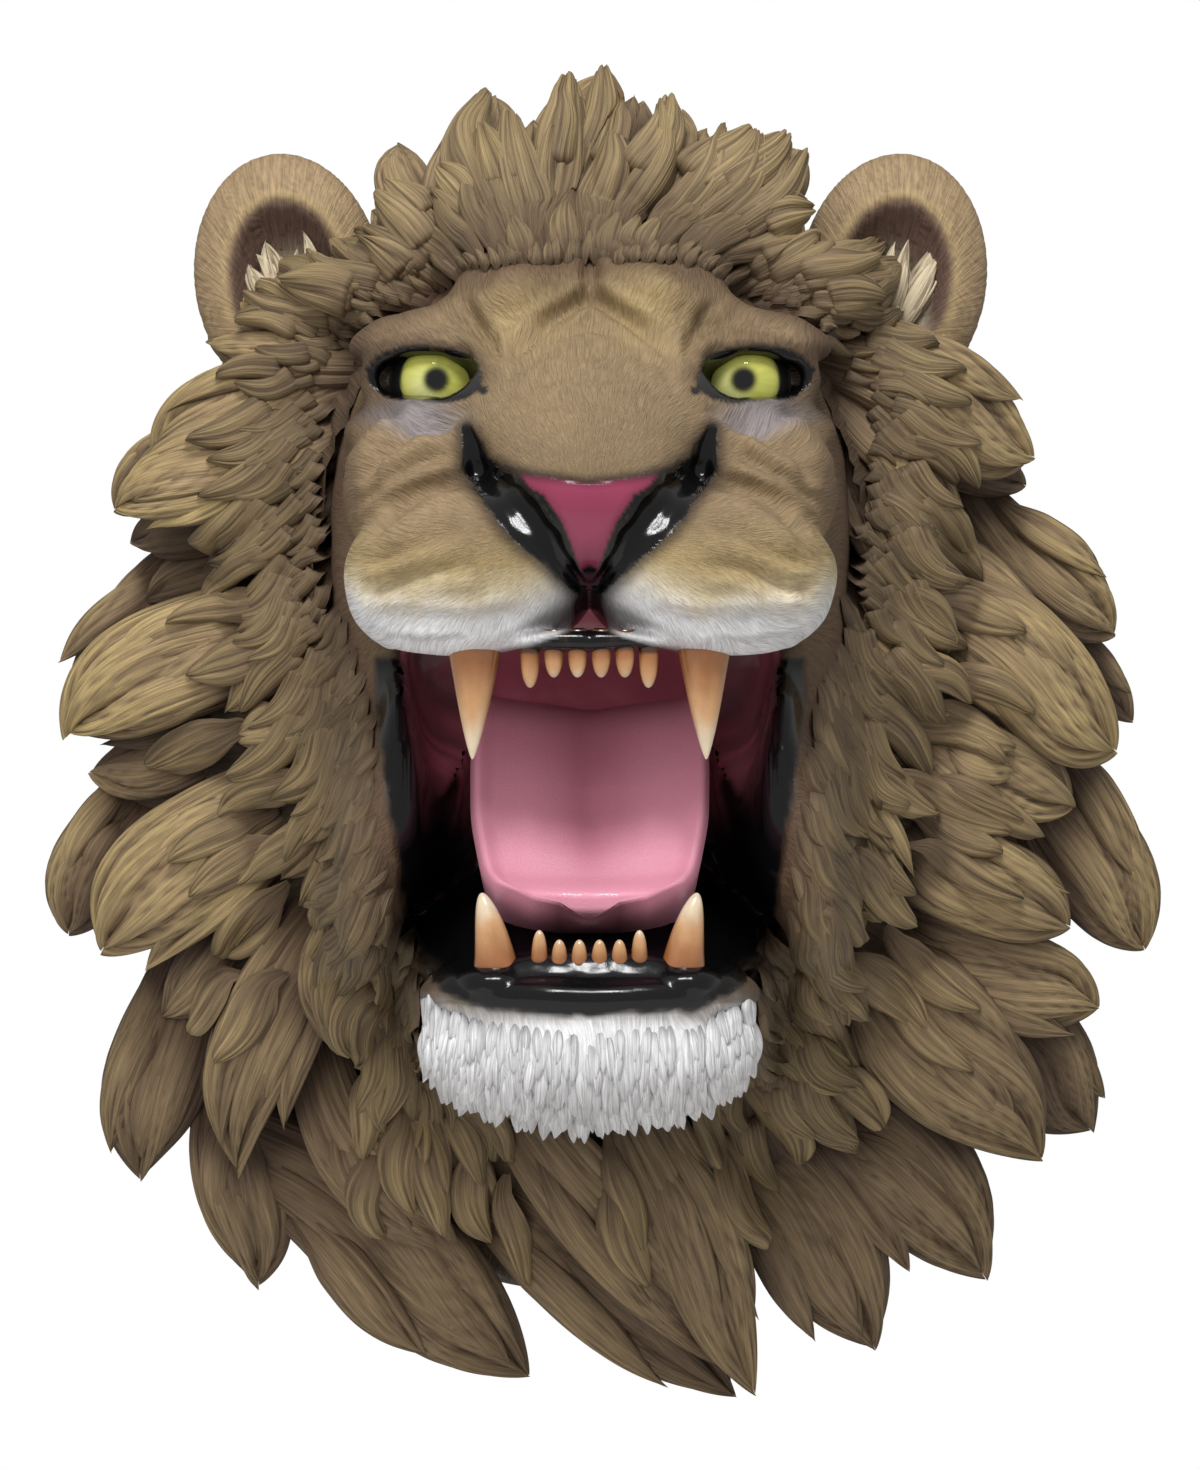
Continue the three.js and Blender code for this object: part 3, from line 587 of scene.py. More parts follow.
def carved_coat():
    """Airbrushed resin: fine carved hair over the modelled relief, glossy where it is lacquered."""
    bench = NodeBench("painted_coat")
    flow = bench.attribute("flow", "Vector")
    fur = bench.attribute("fur")
    gloss = bench.attribute("gloss")
    place = bench.node("ShaderNodeTexCoord").outputs["Object"]
    hairs = bench.noise(bench.stretched(flow, (0.62, 0.045, 1.0)), 1.0, 2.0, 0.6)
    fine = bench.noise(bench.stretched(flow, (1.5, 0.09, 1.0)), 1.0, 2.0, 0.6)
    both = bench.math("ADD", bench.math("MULTIPLY", hairs, 0.62), bench.math("MULTIPLY", fine, 0.38))
    speckle = bench.noise(place, 900.0, 2.0)
    mottle = bench.noise(place, 22.0, 3.0)
    # the fine lines darker, partly dark brown paint and partly painted shade, and their crowns lighter,
    # partly brushed paint and partly painted highlight
    line = bench.math("MULTIPLY", bench.ramp(both, 0.36, 0.62, -0.34, 0.26), fur)
    tone = bench.math("ADD", line, bench.ramp(mottle, 0.3, 0.7, 0.93, 1.07))
    tone = bench.math("ADD", tone, bench.ramp(speckle, 0.3, 0.7, -0.03, 0.03))
    bench.paint_by(tone)
    rough = bench.math("ADD", bench.ramp(gloss, 0, 1, 0.72, 0.16), bench.math("MULTIPLY", line, -0.15))
    bench.link(rough, bench.shader.inputs["Roughness"])
    bench.shader.inputs["Specular IOR Level"].default_value = 0.42
    height = bench.math("MULTIPLY", both, fur)
    normal = bench.bump(height, 0.0022, 0.9)
    normal = bench.bump(bench.math("MULTIPLY", speckle, 0.4), 0.0003, 0.35, normal)
    bench.link(normal, bench.shader.inputs["Normal"])
    return bench.material


def gloss_paint(name, roughness, coat, mottle_scale, mottle_depth, subsurface):
    """Lacquered paint with its colour laid on by airbrush."""
    bench = NodeBench(name)
    place = bench.node("ShaderNodeTexCoord").outputs["Object"]
    mottle = bench.noise(place, mottle_scale, 4.0)
    tone = bench.ramp(mottle, 0.3, 0.7, 1 - mottle_depth, 1 + mottle_depth)
    bench.paint_by(tone)
    rough = bench.ramp(mottle, 0.3, 0.7, roughness * 0.8, roughness * 1.25)
    bench.link(rough, bench.shader.inputs["Roughness"])
    bench.shader.inputs["Coat Weight"].default_value = coat
    bench.shader.inputs["Coat Roughness"].default_value = 0.06
    bench.shader.inputs["Subsurface Weight"].default_value = subsurface
    bench.shader.inputs["Subsurface Radius"].default_value = (0.006, 0.003, 0.002)
    bench.shader.inputs["Subsurface Scale"].default_value = 1.0
    bench.link(bench.bump(mottle, 0.0006, 0.5), bench.shader.inputs["Normal"])
    return bench.material


def glass_paint():
    """Painted glass, matt where it is blacked out round the iris."""
    bench = NodeBench("glass_eye")
    bench.link(bench.attribute("paint", "Color"), bench.shader.inputs["Base Color"])
    shine = bench.attribute("shine")
    bench.link(bench.ramp(shine, 0, 1, 0.6, 0.05), bench.shader.inputs["Roughness"])
    bench.link(bench.ramp(shine, 0, 1, 0.0, 0.6), bench.shader.inputs["Coat Weight"])
    bench.shader.inputs["Specular IOR Level"].default_value = 0.25
    bench.shader.inputs["Coat Roughness"].default_value = 0.03
    return bench.material


def shared(name, make):
    return bpy.data.materials.get(name) or make()


def coat_material():
    return shared("painted_coat", carved_coat)


# The face


CHART_PLANE = 300


def chart_of(points):
    """Places as they fall on the chart, a plane before the wall, seen from the camera's distance."""
    away = sizes().camera_distance / MM
    scale = (away - CHART_PLANE) / (away - points[:, 1])
    return points[:, 0] * scale, points[:, 2] * scale


def curve_distance(line, x, z):
    """Distance in the chart to a line of places, and the share of the way along it."""
    best = np.full(x.shape, 1e9)
    along = np.zeros(x.shape)
    knots = len(line) - 1
    for i, ((x0, z0), (x1, z1)) in enumerate(zip(line, line[1:])):
        rx, rz = x1 - x0, z1 - z0
        share = clamp01(((x - x0) * rx + (z - z0) * rz) / (rx * rx + rz * rz))
        gap = np.hypot(x - x0 - rx * share, z - z0 - rz * share)
        along = np.where(gap < best, (i + share) / knots, along)
        best = np.minimum(best, gap)
    return best, along


# Folds of the snarl, on the chart: line, half width and depth. Those off the middle are mirrored.
FOLDS = {
    "centre of the brow": (((0, 300), (0, 276), (0, 256)), 5, 4.0),
    "under the brow knot": (((3, 257), (20, 247), (38, 234), (54, 222)), 4, 5.5),
    "outside the brow knot": (((54, 222), (64, 239), (76, 260)), 4, 3.6),
    "over the brow knot": (((8, 284), (30, 285), (52, 280), (77, 263)), 7, 2.4),
    "frown": (((4, 243), (22, 234), (40, 221), (56, 209)), 4.5, 2.6),
    "outer brow": (((66, 238), (86, 246), (112, 244), (132, 232)), 5, 2.8),
    "upper lid": (((66, 220), (84, 235), (108, 236), (130, 224)), 3, 2.4),
    "bridge, high": (((0, 226), (22, 225), (44, 216)), 5, 1.6),
    "bridge, middle": (((0, 213), (24, 211), (46, 203)), 5, 1.6),
    "bridge, low": (((0, 199), (24, 197), (46, 190)), 5, 1.2),
    "eye bag": (((66, 196), (84, 187), (108, 185), (130, 195)), 4, 2.6),
    "sneer, outer": (((136, 146), (124, 166), (102, 182), (78, 186)), 5.5, 4.8),
    "sneer, second": (((138, 134), (122, 148), (104, 160), (84, 168)), 4.0, 3.4),
    "sneer, middle": (((134, 116), (116, 134), (94, 146), (70, 150)), 4.5, 4.2),
    "sneer, inner": (((136, 98), (114, 110), (90, 120), (66, 126)), 4.5, 3.2),
    "pad, upper": (((136, 84), (116, 88), (92, 96), (60, 102)), 4.5, 2.6),
    "pad, lower": (((132, 70), (104, 68), (66, 66), (34, 74)), 4.5, 2.6),
    "pad, edge": (((128, 58), (100, 55), (66, 56)), 3.2, 1.8),
}
LIP_EDGE = ((127, 56), (126, 20), (120, -39), (111, -98), (103, -132), (88, -153), (60, -164), (0, -167))
PAD_BOTTOM = ((0, 66), (14, 62), (38, 53), (65, 48.5), (105, 45), (128, 47), (150, 60))
# Half width of the nose leather by height, and the black stem below it.
LEATHER_HALF = ((86, 1.5), (98.5, 6), (113, 11), (127, 17), (142, 27), (146, 35), (149.5, 50), (156, 56))
NOSE_STEM = ((0, 94), (0, 58))
# The black at both corners of the eye.
EYE_CORNERS = (((72, 209), (63, 204)), ((124, 214), (131, 216)))
# Where the mane begins, seen from the front: height and half width.
FACE_EDGE = (
    (284, 60), (272, 100), (254, 134), (226, 158), (180, 166), (110, 164), (56, 150), (10, 132),
    (-60, 124), (-110, 116), (-150, 108), (-212, 96), (-232, 45),
)


def turned_over(line):
    """A line of pairs from its other end, with the values of each pair changed about."""
    return [(b, a) for a, b in line[::-1]]


def inside_lips(side, height):
    """Distance inside the outer edge of the black lips, on the chart."""
    gap, _ = curve_distance(LIP_EDGE, side, height)
    within = side < follow(turned_over(LIP_EDGE), height)
    return np.where(within & (height > LIP_EDGE[-1][1]), gap, -gap)


def face_edge_gap(side, z):
    """Distance in from the line where the mane begins."""
    line = [(288, 0), *FACE_EDGE, (-236, 0)]
    gap, _ = curve_distance([(half, height) for height, half in line], side, z)
    return np.where(side < follow(line[::-1], z), gap, -gap)


def nose_shape(side, height):
    """Signed shapes on the chart, above zero inside: black of the nostrils and pink leather."""
    line = [(x, z) for x, z, _, _ in NOSTRIL_LINE]
    gap, along = curve_distance(line, side, height)
    black = np.interp(along, np.linspace(0, 1, len(line)), [p[3] for p in NOSTRIL_LINE]) - gap
    stem, share = curve_distance(NOSE_STEM, side, height)
    black = np.maximum(black, 6.5 + 5 * share - stem)
    leather_top = 149.5 + 0.13 * side
    pink = np.minimum(follow(LEATHER_HALF, height) - side, leather_top - height)
    return black, np.minimum(pink, height - LEATHER_HALF[0][0])


def mouth_lining(x, d, z, low=1.0, high=4.0):
    """1 on the skin inside the mouth, its back wall included."""
    behind = smooth(104, 98, x) * smooth(262, 250, d) * smooth(-142, -132, z) * smooth(92, 82, z)
    return np.maximum(smooth(high, low, mouth_hollow(x, d, z)), behind)


def face_relief(points, side, height):
    rise = np.zeros(len(points))
    wobble = noise(*(points / 17).T, 3)
    for line, half, depth in FOLDS.values():
        gap, along = curve_distance(line, side + wobble * 2.2, height + wobble * 1.6)
        fade = smooth(0, 0.18, along) * smooth(1.0, 0.8, along)
        if line[0][0] < 5:
            fade = smooth(1.0, 0.75, along)
        cut = np.exp(-((gap / half) ** 2)) - 0.45 * np.exp(-(((gap - 2.1 * half) / (1.1 * half)) ** 2))
        rise -= 1.3 * depth * fade * cut
    # rolled lip, thick round the lower jaw
    lips = inside_lips(side, height)
    roll = np.exp(-(((lips - 11) / 8) ** 2)) * smooth(48, 8, height)
    rise += 4.0 * roll
    # nose leather stands proud and its tip is cleft
    _, pink = nose_shape(side, height)
    front = smooth(350, 380, points[:, 1])
    rise += 1.6 * smooth(-2, 5, pink) * front
    rise -= 1.5 * np.exp(-((side / 2.0) ** 2)) * smooth(118, 98, height) * smooth(50, 60, height) * front
    # the two bulges of the brow
    rise += 4.5 * np.exp(-(((side - 37) / 24) ** 2) - ((height - 264) / 15) ** 2)
    # shallow lumps of the carving
    rise += 0.9 * noise(*(points / 24).T, 5)
    return rise


def face_paint(points, side, height, shut):
    """Colour, gloss and fur of the skin. side and height are its places on the chart, and shut is
    how shut in each one is; shut-in places are darkened there as painted shade."""
    p = paints()
    x, d, z = points.T
    coat, ochre, wash_and_shade = np.array(p.coat) * 0.8, np.array(p.ochre) * 0.9, np.array(p.wash_and_shade)
    tint = np.repeat(coat[None], len(points), axis=0)
    blotch = noise(x / 30, d / 30, z / 30, 11)
    streak = noise(x / 6, d / 6, z / 11, 12)
    # brows and cheeks are warmer; the brow's top and the face's edge darker brown, a painted shadow of the
    # mane, and the far sides of the face darker, painted shade
    warm = smooth(60, 0, np.hypot(side - 40, (height - 262) * 1.2)) * 0.5
    tint = blend_colours(tint, ochre * 1.15, warm * (1.1 + 0.4 * blotch))
    edge = face_edge_gap(np.abs(x), z)
    tint = blend_colours(tint, wash_and_shade * 1.5, 0.85 * smooth(46, 2, edge + 8 * blotch))
    far_side = smooth(128, 158, side) * smooth(-10, 40, height)
    tint = blend_colours(tint, wash_and_shade * 1.9, 0.45 * far_side)
    # muzzle: ochre above, then cream, then white
    pad = smooth(176, 150, side) * smooth(290, 330, d) * smooth(20, 38, z)
    bottom = follow(PAD_BOTTOM, side)
    level = height - bottom + 5 * blotch + 3 * streak
    tint = blend_colours(tint, ochre, 0.62 * pad * smooth(86, 42, level) * smooth(8, 22, level))
    tint = blend_colours(tint, p.cream, pad * smooth(56, 24, level))
    tint = blend_colours(tint, p.white, pad * smooth(42, 14, level))
    # painted shade: shut-in places darker brown
    tint = blend_colours(tint, wash_and_shade * 1.6, smooth(0.12, 0.5, shut) * 0.22)
    # lilac below the eye, darker brown round its upper half, black in the socket and round the lids
    under = np.hypot((side - 104) / 38, (height - 189) / 13)
    tint = blend_colours(tint, p.lilac, 0.55 * smooth(1.15, 0.2, under) * smooth(232, 250, d))
    slant = height - 0.03 * (side - 97)
    around = np.hypot((side - 98) / 34.5, (slant - 212.5) / 18.6)
    upper_eye_dark = smooth(1.42, 1.0, around) * smooth(200, 214, height)
    tint = blend_colours(tint, wash_and_shade * 1.1, 0.55 * upper_eye_dark)
    corner, tail = (curve_distance(line, side, height)[0] for line in EYE_CORNERS)
    eye_front = smooth(150, 170, d)
    socket = np.maximum(smooth(1.03, 0.96, around), smooth(3.6, 2.0, np.minimum(corner, tail))) * eye_front
    # chin
    beard = smooth(-150, -176, height + 3 * streak) * smooth(118, 104, side) * smooth(230, 262, d)
    tint = blend_colours(tint, p.white, beard)
    # lips, lining of the mouth, nose
    hollow = mouth_hollow(np.abs(x), d, z)
    below_pad = smooth(2, -3, height - bottom)
    lips = smooth(-3, 2, inside_lips(side, height) + 1.5 * streak) * below_pad * smooth(225, 250, d)
    lips = np.maximum(lips, smooth(5, 2, hollow) * smooth(70, 60, z))
    tint = blend_colours(tint, p.lips, lips)
    lining = mouth_lining(np.abs(x), d, z)
    tint = blend_colours(tint, p.lips, lining)
    roof = lining * smooth(26, 38, z - 0.12 * (392 - d)) * smooth(378, 366, d)
    back = lining * smooth(290, 256, d) * smooth(-70, -10, z)
    wall = lining * smooth(-90, 20, z) * smooth(386, 366, d) * smooth(50, 80, side)
    streaks = clamp01(0.5 + 1.2 * noise(x / 60, d / 5, z / 60, 21))
    mauve = np.array(p.mouth)
    tint = blend_colours(tint, mauve * 3.0, back)
    tint = blend_colours(tint, mauve * 3.2 + 0.09, roof)
    tint = blend_colours(tint, mauve * 0.5 + 0.04, wall * (0.4 + 0.5 * streaks))
    gum = lining * smooth(366, 376, d) * smooth(76, 66, side)
    tint = blend_colours(tint, p.gums, gum * 0.9)
    black, pink = nose_shape(side, height)
    front = smooth(300, 320, d) * smooth(50, 56, height)
    nostrils = smooth(-1.4, 1.0, black + 1.2 * streak) * front
    leather = smooth(-1.2, 1.5, pink) * smooth(360, 372, d)
    rose = np.array(p.nose)
    shade = smooth(151, 143, height - 0.11 * side) * smooth(84, 118, height)
    leather_tint = rose[None] * mix(0.28, 1.0, shade)[:, None]
    tint = blend_colours(tint, p.lips, smooth(-6, 0, pink) * smooth(360, 372, d) * 0.75)
    tint = tint * (1 - leather)[:, None] + leather_tint * leather[:, None]
    # darker brown round the black of the nostrils
    tint = blend_colours(tint, wash_and_shade * 0.6, 0.7 * smooth(-9, 0, black) * front * (1 - leather))
    seam = smooth(-5, -3.5, pink) * smooth(150, 146, height) * smooth(360, 372, d) * (1 - leather)
    nostrils = np.maximum(nostrils, seam)
    tint = blend_colours(tint, p.lips, nostrils)
    tint = blend_colours(tint, p.lips, socket)
    lacquer = np.maximum.reduce([lips, nostrils, leather, socket, lining])
    # painted shade: shut-in places darker, but for the lining of the mouth
    tint *= mix(1.0, 0.45, smooth(0.15, 0.75, shut) * (1 - lining))[:, None]
    fur = 1 - smooth(0.05, 0.6, np.maximum(lacquer, lining))
    return tint, lacquer, fur


# The muzzle's finer skin reaches to these, and the face's skin to these: half width, back and,
# for the muzzle, bottom and top; how far past the mane's edge, back, and front of the mouth's lining.
MUZZLE_HALF, MUZZLE_BACK, MUZZLE_LOW, MUZZLE_HIGH = 136, 270, 42, 188
UNDER_MANE, FACE_BACK, LINING_FRONT = 14, 150, 372


def in_muzzle(points, margin=0.0):
    x, d, z = np.abs(points[:, 0]), points[:, 1], points[:, 2]
    within = (x < MUZZLE_HALF - margin) & (d > MUZZLE_BACK + margin)
    return within & (z > MUZZLE_LOW + margin) & (z < MUZZLE_HIGH - margin)


def in_view(points, margin=0.0):
    """The skin that shows inside the mane, but for the lining of the mouth."""
    x, d, z = np.abs(points[:, 0]), points[:, 1], points[:, 2]
    lining = (mouth_hollow(x, d, z) < 2.5 + 0.4 * margin) & (d < LINING_FRONT + margin)
    return (face_edge_gap(x, z) > margin - UNDER_MANE) & (d > FACE_BACK + margin) & ~lining


# Parts of the skin: detail as a share of the face's, low and high corner of the box, and where.
SKIN_PARTS = {
    "muzzle": (0.84, (140, 264, 36), (140, 452, 194), in_muzzle),
    "lion_face": (1.24, (190, 140, -256), (190, 452, 312), lambda p: in_view(p) & ~in_muzzle(p, 5)),
    "mouth_and_skull": (
        2.1, (196, 100, -258), (196, 452, 330), lambda p: ~in_view(p, 8) & ~in_muzzle(p, 8),
    ),
}
# Cells at a box's walls that are no skin, the height the face's hair sets out from, and how far
# off the carving still shuts a place in.
BOX_RIM, HAIR_CENTRE, SHUT_REACH = 1.6, 122, 46


def make_skin(name):
    share, low, high, wanted = SKIN_PARTS[name]
    pitch = sizes().face_detail / MM * share
    rods = nostril_rods()

    def field_of(x, d, z):
        return head_field(x, d, z, rods)

    def mirrored(x, d, z):
        if x.ndim == 3 and x.shape[0] > 1:
            half = x[x[:, 0, 0] >= -1e-3]
            values = field_of(half, d, z)
            return np.concatenate([values[:0:-1], values], axis=0)
        return field_of(x, d, z)

    steps = int(high[0] / pitch)
    box = (-steps * pitch, *low[1:]), (steps * pitch, *high[1:])
    points, normals, quads = skin_of(mirrored, *box, pitch)
    # the box's own walls are no skin
    keep = wanted(points) & (np.abs(points[:, 0]) < (steps - BOX_RIM) * pitch)
    for i in (1, 2):
        keep &= (points[:, i] > box[0][i] + BOX_RIM * pitch) & (points[:, i] < box[1][i] - BOX_RIM * pitch)
    quads = quads[keep[quads].all(axis=1)]
    used = np.unique(quads)
    renumber = np.full(len(points), -1)
    renumber[used] = np.arange(len(used))
    points, normals, quads = points[used], normals[used], renumber[quads]
    chart_x, height = chart_of(points)
    side = np.abs(chart_x)
    shut = closeness(field_of, points, normals, SHUT_REACH)
    lining = mouth_lining(np.abs(points[:, 0]), points[:, 1], points[:, 2], 2.0, 6.0)
    relief = face_relief(points, side, height) * (1 - lining)
    relief += lining * 0.8 * noise(*(points / 7).T, 8)
    points = points + normals * relief[:, None]
    tint, lacquer, fur = face_paint(points, side, height, shut)
    angle = np.arctan2(chart_x, height - HAIR_CENTRE)
    reach = np.hypot(height - HAIR_CENTRE, chart_x)
    flow = np.stack([angle * 190, reach * 2.6, chart_x * 0], axis=1)
    hanging = smooth(-140, -160, height)[:, None]
    flow = mix(flow, np.stack([chart_x, height, chart_x * 0], axis=1), hanging)
    sway = noise(*(points / 35).T, 31)
    flow[:, 0] += sway * 14
    values = {"flow": flow, "fur": fur * 0.85, "gloss": lacquer}
    return dress_coat(store_mesh(name, points, quads, None, values, {"paint": tint}))


# Locks of the mane, in the rows of the solid: root depth, tip depth, then each lock as root
# across and height, tip across and height, width, and bow.
MANE = {
    "crest_back": (215, 125, (
        (-105, 310, -125, 385, 38, 0.04), (-85, 290, -60, 420, 54, 0.04), (-20, 290, 15, 434, 60, 0.1),
        (5, 290, 30, 420, 40, 0.06), (20, 300, 35, 415, 40, 0.06), (60, 300, 110, 390, 54, 0.08),
    )),
    "crest_front": (250, 182, (
        (-90, 285, -140, 330, 38, -0.02), (-70, 285, -55, 380, 34, 0.12),
        (-45, 290, -35, 390, 38, 0.08), (30, 290, 60, 400, 46, 0.08), (45, 290, 75, 385, 38, 0.08),
        (65, 285, 135, 370, 58, 0.1), (80, 275, 135, 325, 40, 0.06), (105, 265, 185, 290, 44, -0.04),
        (-100, 270, -185, 295, 40, 0.02),
    )),
    "temple_locks": (215, 150, (
        (-140, 240, -250, 250, 62, -0.06), (-155, 225, -285, 180, 50, -0.08),
        (-165, 185, -310, 140, 60, -0.04), (155, 240, 290, 175, 74, 0),
    )),
    "face_locks": (225, 175, (
        (-155, 190, -235, 135, 36, 0), (-165, 150, -225, 100, 32, 0.04),
        (-165, 100, -235, 10, 40, 0.04), (-150, 60, -225, -30, 40, 0.08),
        (-135, 10, -200, -95, 44, 0.08), (-120, -85, -165, -200, 50, -0.14),
        (155, 210, 240, 135, 36, -0.04), (165, 165, 225, 65, 44, -0.06), (160, 95, 225, 25, 40, -0.06),
        (150, 0, 200, -125, 44, -0.08), (125, -85, 160, -180, 38, -0.04),
    )),
    "front_locks": (175, 100, (
        (-175, 80, -350, -10, 80, -0.08), (-170, -30, -325, -150, 84, -0.08),
        (-150, -100, -230, -300, 64, -0.14), (175, 210, 290, 160, 48, -0.04),
        (215, 125, 320, 30, 40, 0.04), (210, 85, 350, -15, 80, 0.04), (195, 10, 320, -50, 62, -0.04),
        (180, -50, 320, -130, 66, -0.04), (-130, -170, -135, -275, 30, -0.02),
        (95, -185, 180, -280, 40, 0.04),
    )),
    "middle_locks": (138, 70, (
        (-185, 225, -255, 230, 50, -0.02), (-220, 200, -320, 145, 56, -0.04),
        (-230, 140, -310, 125, 42, -0.02), (-205, 120, -300, 85, 40, -0.06),
        (-205, 10, -340, -25, 48, 0.06), (-215, -10, -315, -40, 36, 0.04),
        (-230, -125, -290, -190, 38, 0.04), (200, 250, 270, 210, 44, 0), (245, 160, 355, 60, 64, -0.08),
        (175, -115, 345, -185, 72, -0.04), (170, -135, 305, -290, 90, -0.02),
        (-170, -215, -80, -355, 60, -0.12), (-110, -195, -55, -335, 38, -0.06),
        (-50, -235, 95, -430, 58, -0.02), (15, -220, 115, -450, 60, 0.02),
    )),
    "wall_locks": (84, 28, (
        (-260, 120, -360, 20, 60, 0.05), (-290, -25, -355, -145, 64, -0.06),
        (-265, -145, -305, -308, 76, -0.03), (-235, -230, -225, -382, 66, -0.02),
        (300, 80, 370, 5, 44, -0.06), (285, 10, 378, -152, 80, -0.04), (230, -175, 345, -275, 82, 0.1),
        (-220, -285, -32, -442, 98, 0.06), (-100, -295, 105, -455, 84, 0.08),
        (75, -275, 197, -427, 82, 0.15), (120, -240, 272, -377, 88, 0.17),
    )),
}
# Shape of a lock: thickness and lean out from the middle as shares of its half width, how far its
# root sinks in and starts behind its place, width at the root, fullest place, lift and fall.
LOCK_THICKNESS = 0.56
LOCK_OUTWARD = 0.45
LOCK_SINK = 30
LOCK_TUCK = 0.1
LOCK_ROOT = 0.78
LOCK_FULLEST = 0.45
LOCK_LIFT = 0.12
LOCK_FALL = (0.3, 0.62)
LOCK_SWAY = 0.06
# Widths of a lobe and of a strand of a big lock.
LOBE_WIDTH, STRAND_WIDTH = 24, 5.2
# Widths from which a lock has two lesser ones over it, and three.
BROAD_LOCK, BROADEST_LOCK = 44, 58
WALL_GAP = 0.4
# Map of the carving: side of a cell, cells each way from the middle, and cells of its softening.
MAP_CELL = 4.0
MAP_HALF = 130
SKIN_BLUR, NEAR_BLUR, WIDE_BLUR = 3, 5, 17
# Slope past which the carving counts no steeper, and the depth of the body's front.
STEEPEST_SLOPE = 1.3
BODY_FRONT = 222


def unit(vectors):
    return vectors / np.maximum(np.linalg.norm(vectors, axis=-1, keepdims=True), 1e-9)


def lock_half(width, share, root_width=1.0, blunt=(3.6, 0.66)):
    """Half width along a lock: broad to near its end, which is blunt and round on a big one."""
    grown = np.sin(np.minimum(share / LOCK_FULLEST, 1) * math.pi / 2)
    past = np.maximum(share - LOCK_FULLEST, 0) / (1 - LOCK_FULLEST)
    root = mix(root_width, 1, smooth(0, 0.4, share))
    return 0.5 * width * mix(LOCK_ROOT, 1, grown) * (1 - past ** blunt[0]) ** blunt[1] * root


def lock_line(root_depth, tip_depth, lock, share):
    """Places and directions along a lock's middle line."""
    root_x, root_z, tip_x, tip_z, width, bow = lock
    along = np.array([tip_x - root_x, tip_z - root_z], dtype=float)
    left = np.array([-along[1], along[0]])

    def place(part, push, depth):
        across, up = np.array([root_x, root_z]) + along * part + left * push
        return np.array([across, depth, up])

    def arched(fall):
        return mix(root_depth, tip_depth, fall) + width * LOCK_LIFT

    a = place(-LOCK_TUCK, 0, root_depth - LOCK_SINK)
    b = place(1 / 3, bow, arched(LOCK_FALL[0]))
    c = place(2 / 3, bow, arched(LOCK_FALL[1]))
    e = place(1, 0, tip_depth)
    s = share[..., None]
    line = (1 - s) ** 3 * a + 3 * (1 - s) ** 2 * s * b + 3 * (1 - s) * s**2 * c + s**3 * e
    run = 3 * (1 - s) ** 2 * (b - a) + 6 * (1 - s) * s * (c - b) + 3 * s**2 * (e - c)
    # the middle line snakes a little, one way and then the other
    leftward = np.array([left[0], 0, left[1]]) / max(math.hypot(*left), 1e-6)
    hand = math.copysign(1.0, tip_x - root_x) * math.copysign(1.0, bow + 1e-9)
    sway = width * LOCK_SWAY * hand * leftward
    line = line + np.sin(2 * math.pi * s) * sway
    run = run + 2 * math.pi * np.cos(2 * math.pi * s) * sway
    return line, unit(run)


class FrontMap:
    """How far the carving stands out from the wall, over cells seen from the front."""

    def __init__(self):
        self.depth = np.zeros((2 * MAP_HALF + 1, 2 * MAP_HALF + 1))
        self.skin = self.near = self.wide = self.depth

    def spot(self, x, z):
        return [np.clip(v / MAP_CELL + MAP_HALF, 0, 2 * MAP_HALF - 0.001) for v in (x, z)]

    def lay(self, points):
        flat = points.reshape(-1, 3)
        i, j = (np.rint(v).astype(int) for v in self.spot(flat[:, 0], flat[:, 2]))
        np.maximum.at(self.depth, (i, j), flat[:, 1])

    def settle(self):
        raised = self.depth
        for axis in (0, 1):
            raised = np.maximum.reduce([raised, np.roll(raised, 1, axis), np.roll(raised, -1, axis)])
        self.near = self.blurred(raised, NEAR_BLUR)
        self.wide = self.blurred(self.depth, WIDE_BLUR)

    def blurred(self, soft, cells):
        kernel = np.hanning(cells + 2)[1:-1]
        kernel /= kernel.sum()
        for axis in (0, 1):
            soft = np.apply_along_axis(np.convolve, axis, soft, kernel, "same")
        return soft

    def read(self, table, x, z):
        i, j = self.spot(x, z)
        a, b = np.floor(i).astype(int), np.floor(j).astype(int)
        low = mix(table[a, b], table[a + 1, b], i - a)
        high = mix(table[a, b + 1], table[a + 1, b + 1], i - a)
        return mix(low, high, j - b)

    def facing(self, table, x, z):
        """Direction that the softened carving faces."""
        step = MAP_CELL
        across = self.read(table, x + step, z) - self.read(table, x - step, z)
        up = self.read(table, x, z + step) - self.read(table, x, z - step)
        slopes = [np.clip(-v / (2 * step), -STEEPEST_SLOPE, STEEPEST_SLOPE) for v in (across, up)]
        return unit(np.stack([slopes[0], np.ones(slopes[0].shape), slopes[1]], axis=-1))


